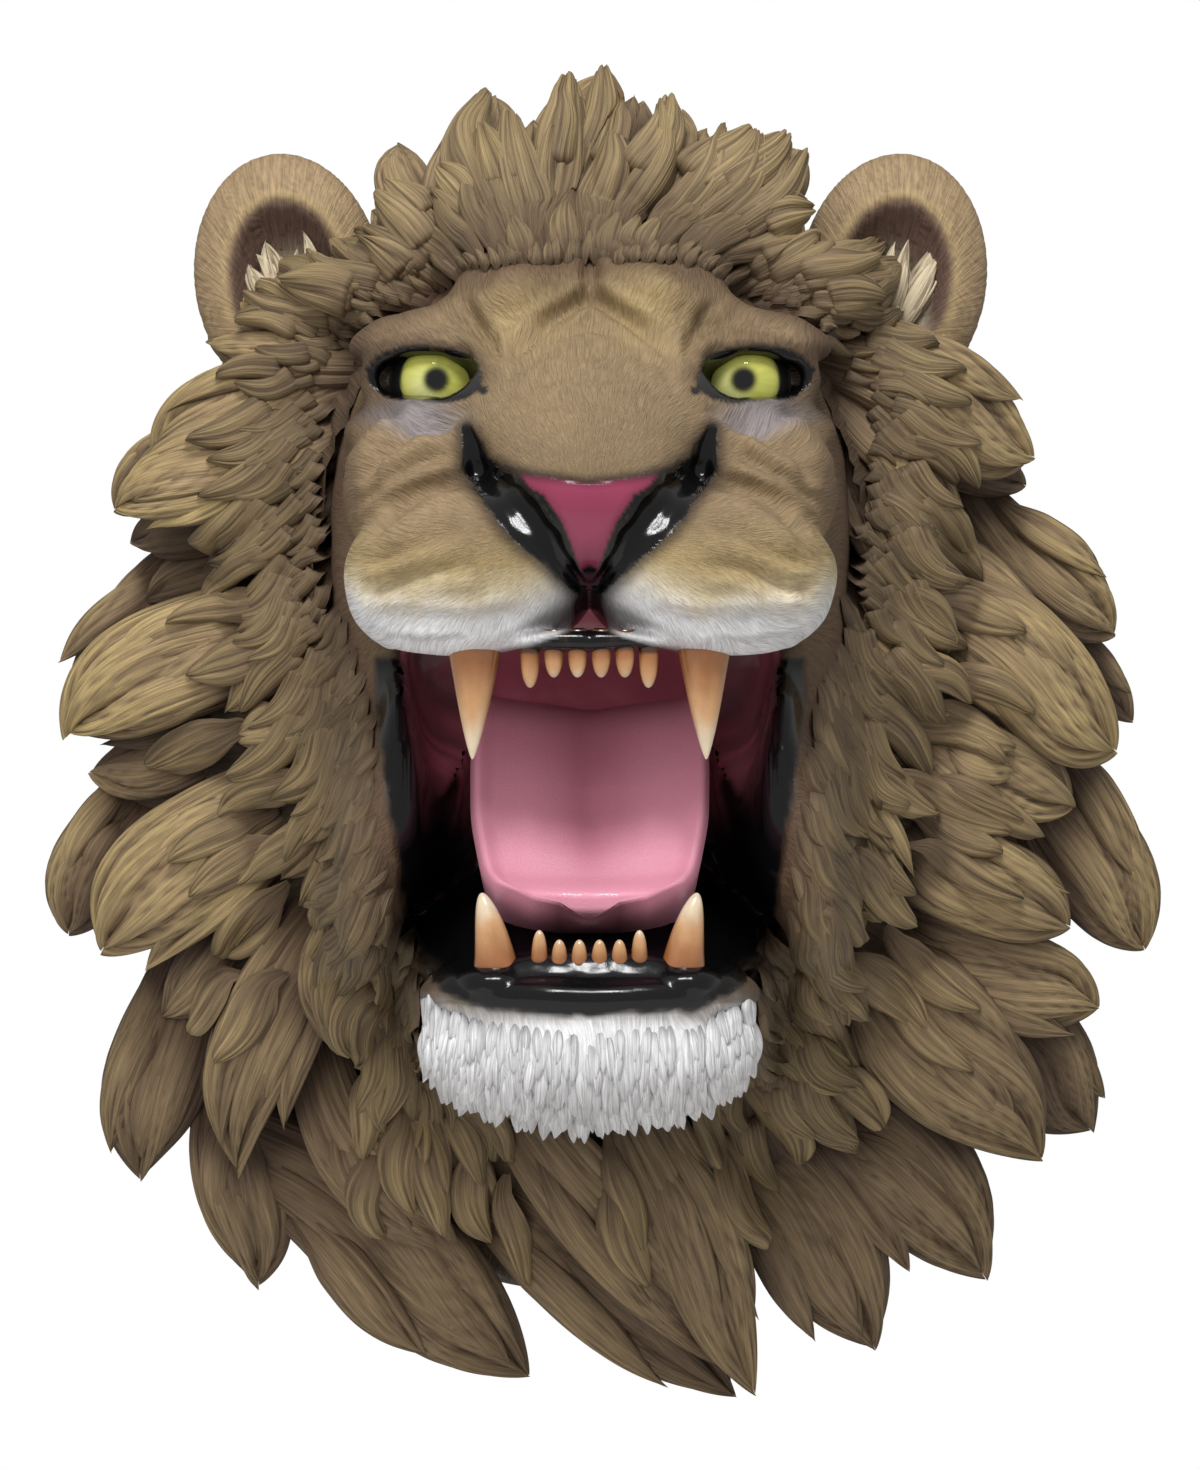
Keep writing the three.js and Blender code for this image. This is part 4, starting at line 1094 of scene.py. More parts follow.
@functools.cache
def carving():
    """The mask's front without its fringe, as a map."""
    front = FrontMap()
    x, z = np.meshgrid(np.arange(0.0, 196.0, MAP_CELL), np.arange(-252.0, 330.0, MAP_CELL))
    d = front_of(bare_head, x, z)
    for side in (-1, 1):
        front.lay(np.stack([x * side, d, z], axis=-1))
    front.skin = front.blurred(front.depth, SKIN_BLUR)
    angle, depth = np.meshgrid(np.linspace(0, 2 * math.pi, 700), np.linspace(0, BODY_FRONT, 80))
    reach = body_reach(depth, np.sin(angle))
    for share in (1.0, 0.97, 0.94, 0.9, 0.86, 0.8):
        held = np.where(depth > BODY_FRONT - 1, share, 1.0) * reach
        front.lay(np.stack([held * np.cos(angle), depth, held * np.sin(angle)], axis=-1))
    share, turn = np.linspace(0, 0.99, 44), np.linspace(0, math.pi, 21)
    for specs in mane_locks().values():
        for root_depth, tip_depth, lock, _, _, root_width in specs:
            line, run = lock_line(root_depth, tip_depth, lock, share)
            radial = unit(line * np.array([1, 0, 1]))
            across = unit(np.cross(np.array([0, 1.0, 0]) + radial * LOCK_OUTWARD, run))
            outward = np.cross(run, across)
            half = lock_half(lock[4], share, root_width)[:, None, None]
            bulge = np.sin(turn)[None, :, None] * LOCK_THICKNESS * half * outward[:, None]
            front.lay(line[:, None] + np.cos(turn)[None, :, None] * half * across[:, None] + bulge)
    front.settle()
    return front


def strands(across, along, count, phase, seed, sharp, wander=0.3):
    """Rounded strands with sharp partings, 0 in a parting and 1 on a crown."""
    drift = wander * noise(across * count * 0.35, along * 1.6, 0.5, seed)
    return np.abs(np.sin(math.pi * (across * count + phase + drift))) ** sharp


def add_lock(pile, root_depth, tip_depth, lock, seed, look, detail=1.0, root_width=1.0):
    """One lock with its strands. look holds brightness, ochre and paleness for its paint."""
    width = lock[4]
    length = math.hypot(lock[2] - lock[0], lock[3] - lock[1])
    chance = np.random.default_rng(seed)
    rows = int(np.clip(length * 0.31 * detail, 11, 48))
    top = int(np.clip(width * 0.66 * detail, 9, 52))
    under = max(4, top // 7)
    steps = np.minimum(1 - (1 - np.linspace(0, 1, rows)) ** 1.3, 0.999)
    turn = np.concatenate([
        np.linspace(0, math.pi, top, endpoint=False),
        np.linspace(math.pi, 2 * math.pi, under, endpoint=False),
    ])
    v, u = rows_by_columns(steps, np.cos(turn))
    over = smooth(-0.15, 0.25, np.sin(turn))[None, :]
    arc = 1 - np.arccos(np.clip(u, -1, 1)) / math.pi
    swirl = chance.uniform(-0.3, 0.3)
    lane = arc + swirl * (v - 0.5) * 0.5 + 0.05 * np.sin(1.6 * v * math.pi + seed)
    lobes = max(1.0, round(width / LOBE_WIDTH))
    fine = max(3.0, width / STRAND_WIDTH)
    lobe = strands(lane, v, lobes, chance.uniform(0, 1), seed, 0.6, 0.35)
    strand = strands(lane, v, fine, chance.uniform(0, 1), seed + 1, 0.8, 0.45)
    hair = strands(lane, v, fine * 2.6, chance.uniform(0, 1), seed + 2, 0.9, 0.4)
    # the strands end one behind another
    behind = 0.10 * (1 - lobe) + 0.10 * (0.5 + 0.5 * noise(lane * lobes, 0.5, 0.5, seed + 4))
    s = v * (1 - behind * smooth(0.35, 1.0, v))
    line, run = lock_line(root_depth, tip_depth, lock, s)
    radial = unit(line * np.array([1, 0, 1]))
    facing = np.array([0, 1.0, 0]) + radial * LOCK_OUTWARD
    across = unit(np.cross(facing, run))
    outward = np.cross(run, across)
    blunt = (3.0, 0.78) if width > 45 and lock[3] > -200 else (2.3, 0.9)
    body = lock_half(width, v, root_width, blunt)
    scale = min(1.0, width / 70)
    calm = smooth(1.02, 0.9, v) * (0.35 + 0.65 * smooth(0.0, 0.2, v))
    cut = sizes().lobe_depth / MM * scale * (1 - lobe) * calm
    cut = cut + sizes().strand_depth / MM * (0.4 + 0.6 * scale) * (1 - strand) * (0.45 + 0.55 * calm)
    cut = np.minimum((cut + 0.5 * (1 - hair)) * over, body * 0.6)
    rise = np.sin(turn)[None, :]
    fullness = np.where(rise > 0, np.abs(rise) ** 0.8, -np.abs(rise) ** 1.2 * 0.8)
    spread = np.sign(u) * np.abs(u) ** 0.9
    grid = line + across * (spread * body - u * 0.35 * cut)[..., None]
    grid = grid + outward * (body * LOCK_THICKNESS * fullness - rise * cut)[..., None]
    grid[..., 1] = np.maximum(grid[..., 1], WALL_GAP)
    tint = lock_paint(grid, u, v, over, lobe, strand, hair, seed, look)
    flow = np.stack([lane * width * 1.4, v * length * 0.45, np.full(u.shape, seed * 3.7 % 50)], axis=-1)
    ones = np.ones(u.shape)
    pile.add_grid(grid, {"paint": tint, "flow": flow, "fur": ones, "gloss": ones * 0.08})


def lock_paint(grid, u, v, over, lobe, strand, hair, seed, look):
    """Tan coat, ochre brushed on the raised ends, partly a painted highlight, and painted shade in the
    partings, at the roots, at the edges, underneath and behind others.
    """
    p = paints()
    bright, yellow, pale = look
    front = carving()
    proud = grid[..., 1] - front.read(front.wide, grid[..., 0], grid[..., 2])
    crown = 0.34 * lobe + 0.4 * strand + 0.26 * hair
    tint = np.broadcast_to(np.array(p.coat) * bright, (*u.shape, 3))
    tint = blend_colours(tint, np.array(p.crest) * bright, clamp01(1 - yellow - pale) * 0.6)
    patch = 0.5 + 0.5 * noise(u * 1.5 + seed, v * 3, 0.3, seed)
    # ochre brushed on the crowns, heavier where the lock stands proud of its neighbours: partly a painted
    # highlight
    dry_brush_and_highlight = smooth(0.4, 0.92, crown) * yellow * smooth(0.08, 0.62, v) * smooth(-10, 14, proud)
    ochre = np.array(p.ochre) * (0.86 + 0.14 * bright)
    tint = blend_colours(tint, ochre, clamp01(dry_brush_and_highlight * (0.55 + 0.6 * patch)))
    tint = blend_colours(tint, p.cream, clamp01(pale * smooth(0.2, 0.8, crown)))
    dark = np.array(p.wash_and_shade) * (0.85 + 0.4 * bright)
    # painted shade: darker in the partings, at the root, where the lock lies below its neighbours and at
    # its edges, and darker still on its underside
    partings = 0.78 * smooth(0.72, 0.12, crown)
    roots = 0.62 * smooth(0.46, 0.0, v)
    sunk_shade = 0.86 * smooth(2, -26, proud)
    rim = 0.45 * smooth(0.84, 1.0, np.abs(u))
    unshaded = (1 - partings) * (1 - roots * (1 - pale)) * (1 - sunk_shade) * (1 - rim)
    return blend_colours(tint, dark, (1 - unshaded) * over + 0.85 * (1 - over))


def region_look(x, z, depth):
    """Paint of the locks at a place: brightness, ochre and paleness."""
    middle = smooth(290, 120, abs(z - 40)) * smooth(120, 230, abs(x))
    outer = smooth(200, 320, abs(x))
    bright = 0.80 + 0.16 * middle + 0.05 * outer
    if z > 290:
        bright = 0.82
    if z < -200:
        bright = 0.86
    if x > 0:
        bright -= 0.05
    yellow = 0.35 + 0.6 * middle
    # the locks near the wall are darker and less ochre: painted shade, deep behind the others
    near_wall = float(smooth(90, 30, depth))
    return bright - 0.08 * near_wall, yellow * (1 - 0.35 * near_wall), 0.0


def companions(lock, row_depth, tip_depth, seed):
    """Lesser locks that lie beside and over a main one, within its outline."""
    chance = np.random.default_rng(seed + 500)
    x0, z0, x1, z1, width, bow = lock
    along = np.array([x1 - x0, z1 - z0], dtype=float)
    length = np.hypot(*along)
    left = np.array([-along[1], along[0]]) / length
    made = []
    if width < BROAD_LOCK:
        return made
    for side in (-1, 1, 0) if width > BROADEST_LOCK else (-1, 1):
        reach = chance.uniform(0.66, 0.93)
        push = side * width * chance.uniform(0.18, 0.28)
        start = chance.uniform(0.0, 0.18) + 0.12 * (side == 0)
        root = np.array([x0, z0]) + along * start + left * push * 0.5
        tip = np.array([x0, z0]) + along * reach + left * push * chance.uniform(1.0, 1.4)
        part = (root[0], root[1], tip[0], tip[1], width * chance.uniform(0.36, 0.48), bow + side * 0.06)
        depth = mix(row_depth, tip_depth, reach) + width * 0.15
        made.append((row_depth + width * 0.12, depth, part))
    return made


@functools.cache
def mane_locks():
    """Every lock of the mane by its row: depths, lock, seed, look and width at its root."""
    rows = {}
    for row, (name, (root_depth, tip_depth, locks)) in enumerate(MANE.items()):
        specs = rows.setdefault(name, [])
        for number, lock in enumerate(locks):
            seed = 100 * row + 7 * number + 11
            look = region_look((lock[0] + lock[2]) / 2, (lock[1] + lock[3]) / 2, tip_depth)
            specs.append((root_depth, tip_depth, lock, seed, look, 0.9))
            for extra, (root, tip, part) in enumerate(companions(lock, root_depth, tip_depth, seed)):
                specs.append((root, tip, part, seed + 31 + extra, look, 0.25))
    return rows


def make_mane_row(name):
    pile = MeshPile()
    for root_depth, tip_depth, lock, seed, look, root_width in mane_locks()[name]:
        add_lock(pile, root_depth, tip_depth, lock, seed, look, root_width=root_width)
    return dress_coat(pile.store(name))


# The body of the mane under its locks: depth, then distance out at top, side, lower side, bottom.
BODY_STEPS = (
    (0, 320, 305, 345, 385),
    (40, 345, 320, 340, 375),
    (85, 350, 290, 300, 310),
    (130, 345, 248, 240, 235),
    (175, 330, 208, 195, 180),
    (220, 300, 168, 160, 130),
)
BODY_LOW = 0.6
# How far off a big lock still turns the hair its own way.
COMB_REACH = 38


def body_reach(depth, up):
    steps = np.array(BODY_STEPS, dtype=float)
    top, side, low, bottom = (np.interp(depth, steps[:, 0], steps[:, i]) for i in range(1, 5))
    upper = mix(side, top, up**2)
    flank = mix(side, low, np.clip(-up / BODY_LOW, 0, 1))
    under = mix(low, bottom, np.clip((-up - BODY_LOW) / (1 - BODY_LOW), 0, 1) ** 1.5)
    return np.where(up > 0, upper, np.where(-up < BODY_LOW, flank, under))


def make_mane_body():
    """The strands between and behind the locks, down to the wall."""
    sides, rows = 270, 40
    depth = np.concatenate([[0.0], np.linspace(1.5, BODY_FRONT, rows - 1)])
    depth, angle = rows_by_columns(depth, np.linspace(0, 2 * math.pi, sides, endpoint=False))
    reach = body_reach(depth, np.sin(angle))
    lane = angle * 300
    along = depth + 30 * np.sin(angle * 9)
    strand = strands(lane / 24, along / 60, 1.0, 0.0, 71, 0.7, 1.2)
    hair = strands(lane / 8, along / 60, 1.0, 0.4, 72, 0.8, 1.6)
    cut = (5 * (1 - strand) + 2.2 * (1 - hair)) * smooth(0, 8, depth)
    reach = reach - cut - 2
    grid = np.stack([reach * np.cos(angle), depth, reach * np.sin(angle)], axis=-1)
    p = paints()
    # painted shade: the body lies behind the locks, so it is half as bright as the crest paint and darker
    # still in its partings
    tint = np.broadcast_to(np.array(p.crest) * 0.5, (*angle.shape, 3))
    tint = blend_colours(tint, np.array(p.wash_and_shade) * 0.9, smooth(0.8, 0.2, 0.5 * strand + 0.5 * hair) * 0.85)
    flow = np.stack([lane * 0.6, along, np.zeros(angle.shape)], axis=-1)
    ones = np.ones(angle.shape)
    pile = MeshPile()
    pile.add_grid(grid, {"paint": tint, "flow": flow, "fur": ones, "gloss": ones * 0.05}, (0,))
    return dress_coat(pile.store("mane_body"))


@functools.cache
def combing():
    """Places on the mane's locks and the way each runs there, seen from the front."""
    places, ways = [], []
    for root_depth, tip_depth, locks in MANE.values():
        for lock in locks:
            line, run = lock_line(root_depth, tip_depth, lock, np.linspace(0.05, 0.95, 5))
            places.append(line[:, (0, 2)])
            ways.append(unit(run[:, (0, 2)]))
    return np.concatenate(places), np.concatenate(ways)


def combed(place, out):
    """Direction of the hair at a place: along the locks near it, or out from the face."""
    places, ways = combing()
    weight = np.exp(-((places - place) ** 2).sum(axis=1) / COMB_REACH**2)
    return unit((ways * weight[:, None]).sum(axis=0) + out * 0.35)


def strand_line(root, way, length, curl, steps):
    """A line over the mane from a root, that turns into the lie of the hair."""
    place, line = np.array(root, dtype=float), []
    for i in range(steps):
        line.append(place)
        share = i / (steps - 1)
        bend = curl * math.sin(2 * math.pi * (share - 0.1))
        aim = unit(mix(way, combed(place, way), 0.25 + 0.6 * share))
        aim = np.array([aim[0] - bend * aim[1], aim[1] + bend * aim[0]])
        place = place + unit(aim) * length / (steps - 1)
    return np.array(line)


# Fall over run at which a laid lock ends, and the share of it, from its root, that is kept.
DROP, KEPT_ROOT = 1.5, 0.3
# A laid lock: share of its length to its fullest place, and width of its strands and lobes.
LAID_FULLEST, LAID_STRAND, LAID_LOBE = 0.42, 3.4, 14


def short_of_drop(line):
    """The line, cut where the carving under it falls away."""
    front = carving()
    depth = front.read(front.near, line[:, 0], line[:, 1])
    step = np.hypot(*np.diff(line, axis=0).T)
    past_root = np.arange(len(step)) > KEPT_ROOT * len(step)
    steep = np.nonzero((depth[:-1] - depth[1:] > DROP * step) & past_root)[0]
    end = steep[0] + 0.5 if len(steep) else len(line) - 1.0
    share, places = np.linspace(0, end, len(line)), np.arange(len(line))
    return np.stack([np.interp(share, places, line[:, i]) for i in (0, 1)], axis=1)


def add_ribbon(pile, line, width, lift, seed, look, pitch=1.5, sunk_root=0.35, root_shade=0.4, steep=1.1):
    """One flat lock that lies on the carving, fine strands along it and its end a raised point.
    look holds brightness, ochre and paleness for its paint, sunk_root is the share of it that
    rises out of the skin, and steep is how fast it may fall to the wall."""
    rows, cols = len(line), int(np.clip(width / pitch, 6, 30))
    length = np.hypot(*np.diff(line, axis=0).T).sum()
    s, u = rows_by_columns(np.linspace(0, 1, rows), np.linspace(-1, 1, cols))
    run = unit(np.gradient(line, axis=0))
    left = np.stack([-run[:, 1], run[:, 0]], axis=1)
    past = np.clip((s - LAID_FULLEST) / (1 - LAID_FULLEST), 0, 1)
    grown = np.sin(np.minimum(s / LAID_FULLEST, 1) * math.pi / 2)
    half = 0.5 * width * mix(0.16, 1, grown) * (1 - past**2.2) ** 0.9
    place = line[:, None] + left[:, None] * (u * half)[..., None]
    front = carving()
    rest = front.read(front.near, place[..., 0], place[..., 1])
    if sunk_root:
        skin = front.read(front.skin, place[..., 0], place[..., 1])
        rest = mix(np.minimum(skin, rest), rest, smooth(0.0, sunk_root, s))
    # the lock bridges a drop in the carving rather than fall into it
    fall = steep * length / (rows - 1)
    for i in range(1, rows):
        rest[i] = np.maximum(rest[i], rest[i - 1] - fall)
    arch = np.sqrt(np.maximum(1 - np.abs(u) ** 2.4, 0))
    count = max(2.0, width / LAID_STRAND)
    arc = 0.5 + 0.5 * np.sign(u) * np.abs(u) ** 0.9
    lobe = strands(arc, s, max(1.0, round(width / LAID_LOBE)), 0.5, seed, 0.7, 0.5)
    strand = strands(arc, s, count, seed * 0.37 % 1, seed + 1, 0.8, 0.7)
    hair = strands(arc, s, count * 2.2, seed * 0.71 % 1, seed + 2, 0.9, 0.6)
    swell = smooth(0.0, 0.35, s) * (0.7 + 0.5 * s) * smooth(1.02, 0.9, s)
    rise = lift * (arch - 0.32 * (1 - lobe) * arch) * swell - (0.5 + 3.5 * s) * (1 - arch)
    rise = rise - 3.0 * smooth(0.93, 1.0, s) - (1.5 if sunk_root else 7.0) * smooth(0.14, 0.0, s)
    rise = rise - (0.9 * (1 - strand) + 0.35 * (1 - hair)) * min(1.0, width / 16)
    facing = front.facing(front.near, place[..., 0], place[..., 1])
    grid = np.stack([place[..., 0], rest, place[..., 1]], axis=-1) + facing * rise[..., None]
    grid[..., 1] = np.maximum(grid[..., 1], WALL_GAP)
    p = paints()
    bright, yellow, pale = look
    proud = grid[..., 1] - front.read(front.wide, grid[..., 0], grid[..., 2])
    crown = 0.24 * lobe + 0.48 * strand + 0.28 * hair
    tint = np.broadcast_to(np.array(p.coat) * bright, (*s.shape, 3))
    tint = blend_colours(tint, np.array(p.crest) * bright, clamp01(1 - yellow - pale) * 0.6)
    # ochre brushed on the crowns, heavier where the lock stands proud: partly a painted highlight
    dry_brush_and_highlight = smooth(0.4, 0.92, crown) * yellow * smooth(0.15, 0.75, s) * smooth(-12, 12, proud)
    tint = blend_colours(tint, np.array(p.ochre) * (0.86 + 0.14 * bright), clamp01(dry_brush_and_highlight))
    tint = mix(tint, np.array(p.white) * (0.86 + 0.14 * crown[..., None]), pale)
    # painted shade: darker in the partings, at the root, where it lies below its neighbours and at its
    # edges; on pale locks the shade is grey
    partings = (0.75 - 0.5 * pale) * smooth(0.72, 0.12, crown)
    base = root_shade * smooth(0.5, 0.0, s)
    sunk_shade = 0.7 * smooth(2, -26, proud) * (1 - pale)
    rim = (0.5 - 0.3 * pale) * smooth(0.82, 1.0, np.abs(u)) * smooth(0.1, 0.5, s)
    dark = mix(np.array(p.wash_and_shade) * (0.85 + 0.4 * bright), np.array(p.gums) * 2, pale)
    tint = blend_colours(tint, dark, 1 - (1 - partings) * (1 - base) * (1 - sunk_shade) * (1 - rim))
    flow = np.stack([arc * width * 1.3, s * length * 0.45, np.full(s.shape, seed * 3.7 % 50)], axis=-1)
    ones = np.ones(s.shape)
    pile.add_open_grid(grid, {"paint": tint, "flow": flow, "fur": ones, "gloss": ones * 0.08}, facing)


def edge_walk(reach):
    """Points down the line where the mane leaves the face, and the way out at each."""
    edge = np.array([(half, height) for height, half in FACE_EDGE[1:]], dtype=float)
    total = np.concatenate([[0], np.cumsum(np.hypot(*np.diff(edge, axis=0).T))])
    t = np.arange(0, total[-1] - 24, reach)
    line = np.stack([np.interp(t, total, edge[:, i]) for i in (0, 1)], axis=1)
    line = eased(line, max(2, int(18 / reach)))
    down = unit(np.gradient(line, axis=0))
    return line, down, np.stack([-down[:, 1], down[:, 0]], axis=1)


def eased(values, reach):
    """Values along a line with their corners rounded off."""
    kernel = np.hanning(2 * reach + 3)[1:-1]
    kernel /= kernel.sum()
    padded = np.concatenate([np.repeat(values[:1], reach, 0), values, np.repeat(values[-1:], reach, 0)])
    return np.stack([np.convolve(padded[:, i], kernel, "valid") for i in range(values.shape[1])], axis=1)


# Rows of flat locks from the face out: set out from the edge, spacing, length, width, lift.
FRINGE_ROWS = ((14, 15, 88, 27, 6.5), (4, 11, 68, 20, 5.0), (-3, 6.5, 42, 10, 2.6))


def make_fringe(name, side):
    """Flat locks with fine strands where the mane leaves the face."""
    pile = MeshPile()
    chance = np.random.default_rng(60 + side)
    for row, (set_out, spacing, length, width, lift) in enumerate(FRINGE_ROWS):
        line, down, out = edge_walk(spacing)
        for i in range(len(line)):
            seed = 1200 + 300 * row + i + (side > 0) * 1000
            root = line[i] + out[i] * (set_out + chance.uniform(-6, 6))
            height = line[i][1]
            fall = 0.35 + 0.5 * float(smooth(262, 190, height)) + 0.25 * float(smooth(40, -20, height))
            way = unit(out[i] + down[i] * (fall + chance.uniform(-0.2, 0.2)))
            size = chance.uniform(0.75, 1.15)
            hand = np.array([side, 1])
            curl = chance.uniform(0.1, 0.5) * (1 if chance.uniform() < 0.75 else -1) * -side
            path = strand_line(root * hand, way * hand, length * size, curl, int(length / 4.4))
            bright = 0.5 + 0.08 * (row == 0) + chance.uniform(-0.04, 0.05)
            add_ribbon(pile, path, width * size, lift, seed, (bright, 0.4 - 0.12 * row, 0.0), steep=2.8)
    return dress_coat(pile.store(name))


# The hollows: spacing and half reach of the places tried, how far each has to lie from the face
# and from the mane's rim, how proud of the carving round it a lock may be, and its least depth.
UNDERCOAT_STEP, UNDERCOAT_HALF = 27, (330, 360)
OFF_FACE, OFF_RIM, PROUDEST, LEAST_DEPTH = 26, 16, 8.0, 20


def make_undercoat():
    """Flat locks that fill the hollows between the big ones."""
    pile = MeshPile()
    front = carving()
    chance = np.random.default_rng(91)
    for x in np.arange(-UNDERCOAT_HALF[0], UNDERCOAT_HALF[0] + 1, UNDERCOAT_STEP):
        for z in np.arange(UNDERCOAT_HALF[1], -UNDERCOAT_HALF[1] - 1, -UNDERCOAT_STEP):
            root = np.array([x, z]) + chance.uniform(-9, 9, 2)
            length, width = chance.uniform(66, 98), chance.uniform(20, 32)
            out = unit(root - np.array([0, 40.0]))
            if face_edge_gap(np.abs(root[:1]), root[1:])[0] > -OFF_FACE:
                continue
            path = short_of_drop(strand_line(root, out, length, chance.uniform(-0.35, 0.35), 18))
            reach = body_reach(np.zeros(18), path[:, 1] / np.hypot(*path.T))
            depth = front.read(front.near, path[:, 0], path[:, 1])
            proud = depth - front.read(front.wide, path[:, 0], path[:, 1])
            if (np.hypot(*path.T) > reach - OFF_RIM).any() or proud.mean() > PROUDEST:
                continue
            if depth.min() < LEAST_DEPTH:
                continue
            seed = int(3000 + x * 7 + z) % 6000
            add_ribbon(pile, path, width, 5.5, seed, (0.72, 0.5, 0.0), pitch=1.8, sunk_root=0.0)
    return dress_coat(pile.store("undercoat"))


# Flames of the crest: height over the hairline, spacing, length, width, lift and half of the spread.
CREST_ROWS = (
    (40, 24, 112, 38, 11.0, 96), (10, 18, 132, 32, 11.0, 126), (0, 11, 96, 20, 7.0, 134),
    (-3, 5.5, 36, 8, 2.2, 139),
)
HAIRLINE = ((0, 283), (60, 280), (100, 268), (138, 250))


def make_crest_layers():
    """Flames of hair that stand up from the forehead and fan to both sides."""
    pile = MeshPile()
    chance = np.random.default_rng(77)
    for row, (over, spacing, length, width, lift, half) in enumerate(CREST_ROWS):
        for i, x in enumerate(np.arange(-half, half + 1, spacing)):
            x = x + chance.uniform(-0.25, 0.25) * spacing
            hairline = float(follow(HAIRLINE, abs(x)))
            root = np.array([x, hairline + over * (1 - 0.3 * abs(x) / 140) + chance.uniform(-3, 3)])
            lean = x / 140 * 1.15 + 0.1 + chance.uniform(-0.16, 0.16)
            way = np.array([math.sin(lean), math.cos(lean)])
            size = chance.uniform(0.78, 1.15)
            curl = float(np.interp(x, (-60, 20), (0.35, -0.4))) + chance.uniform(-0.1, 0.1)
            path = short_of_drop(strand_line(root, way, length * size, curl, int(length / 4.2)))
            bright = 0.64 - 0.04 * row + chance.uniform(-0.04, 0.04)
            seed = 2200 + 200 * row + i
            add_ribbon(pile, path, width * size, lift, seed, (bright, 0.5 - 0.1 * row, 0.0))
    return dress_coat(pile.store("crest_layers"))


# The white chin: where its hair starts under the lip and where it ends.
CHIN_TOP = ((0, -164), (60, -161), (88, -150), (100, -132))
CHIN_BOTTOM = ((0, -226), (30, -224), (60, -214), (86, -198), (100, -174))
CHIN_ROWS = 6


def make_chin():
    """White hair of the chin, in fine pointed locks that hang over each other."""
    pile = MeshPile()
    tuft = sizes().chin_tuft / MM
    chance = np.random.default_rng(53)
    for row in range(CHIN_ROWS, -1, -1):
        for x in np.arange(-93, 94, 5.4):
            x = x + chance.uniform(-2.5, 2.5)
            top, low = follow(CHIN_TOP, abs(x)), follow(CHIN_BOTTOM, abs(x))
            share = np.clip((row + chance.uniform(-0.4, 0.4)) / CHIN_ROWS, 0, 1)
            root = np.array([x, mix(top, low, share)])
            lean = 0.1 * x / 98 + chance.uniform(-0.12, 0.12)
            length = tuft * chance.uniform(0.75, 1.2) * (0.85 + 0.15 * (share < 0.8))
            step = np.array([math.sin(lean), -math.cos(lean)]) * length / 11
            path = root + np.arange(12)[:, None] * step
            seed = 5000 + 60 * row + int(x)
            # painted shade under the lip: the roots of the top rows are darker
            shade = 0.5 * float(smooth(0.3, 0.0, share))
            width = chance.uniform(6.5, 9)
            add_ribbon(pile, path, width, 2.4, seed, (1.0, 0.0, 1.0), 1.1, 0.5, shade, 3.0)
    return dress_coat(pile.store("chin_fur"))


# Ears

EAR = ((192, 160, 289), (60, 34, 81), (0, 8, 0))
EAR_HOLLOW = ((190, 204, 283), (36, 44, 54), (0, 8, 0))
EAR_BOX = ((126.0, 118.0, 200.0), (260.0, 206.0, 376.0))
EAR_TUFTS = 26
# The hair runs out from here, and the hollow is this brown at its rim.
EAR_ROOT = (190, 250)
EAR_BROWN = colour(92, 70, 64)


def ear_field(x, d, z):
    shell = ellipsoid(*EAR, x, d, z)
    return blend_cut(shell, ellipsoid(*EAR_HOLLOW, x, d, z), 9)


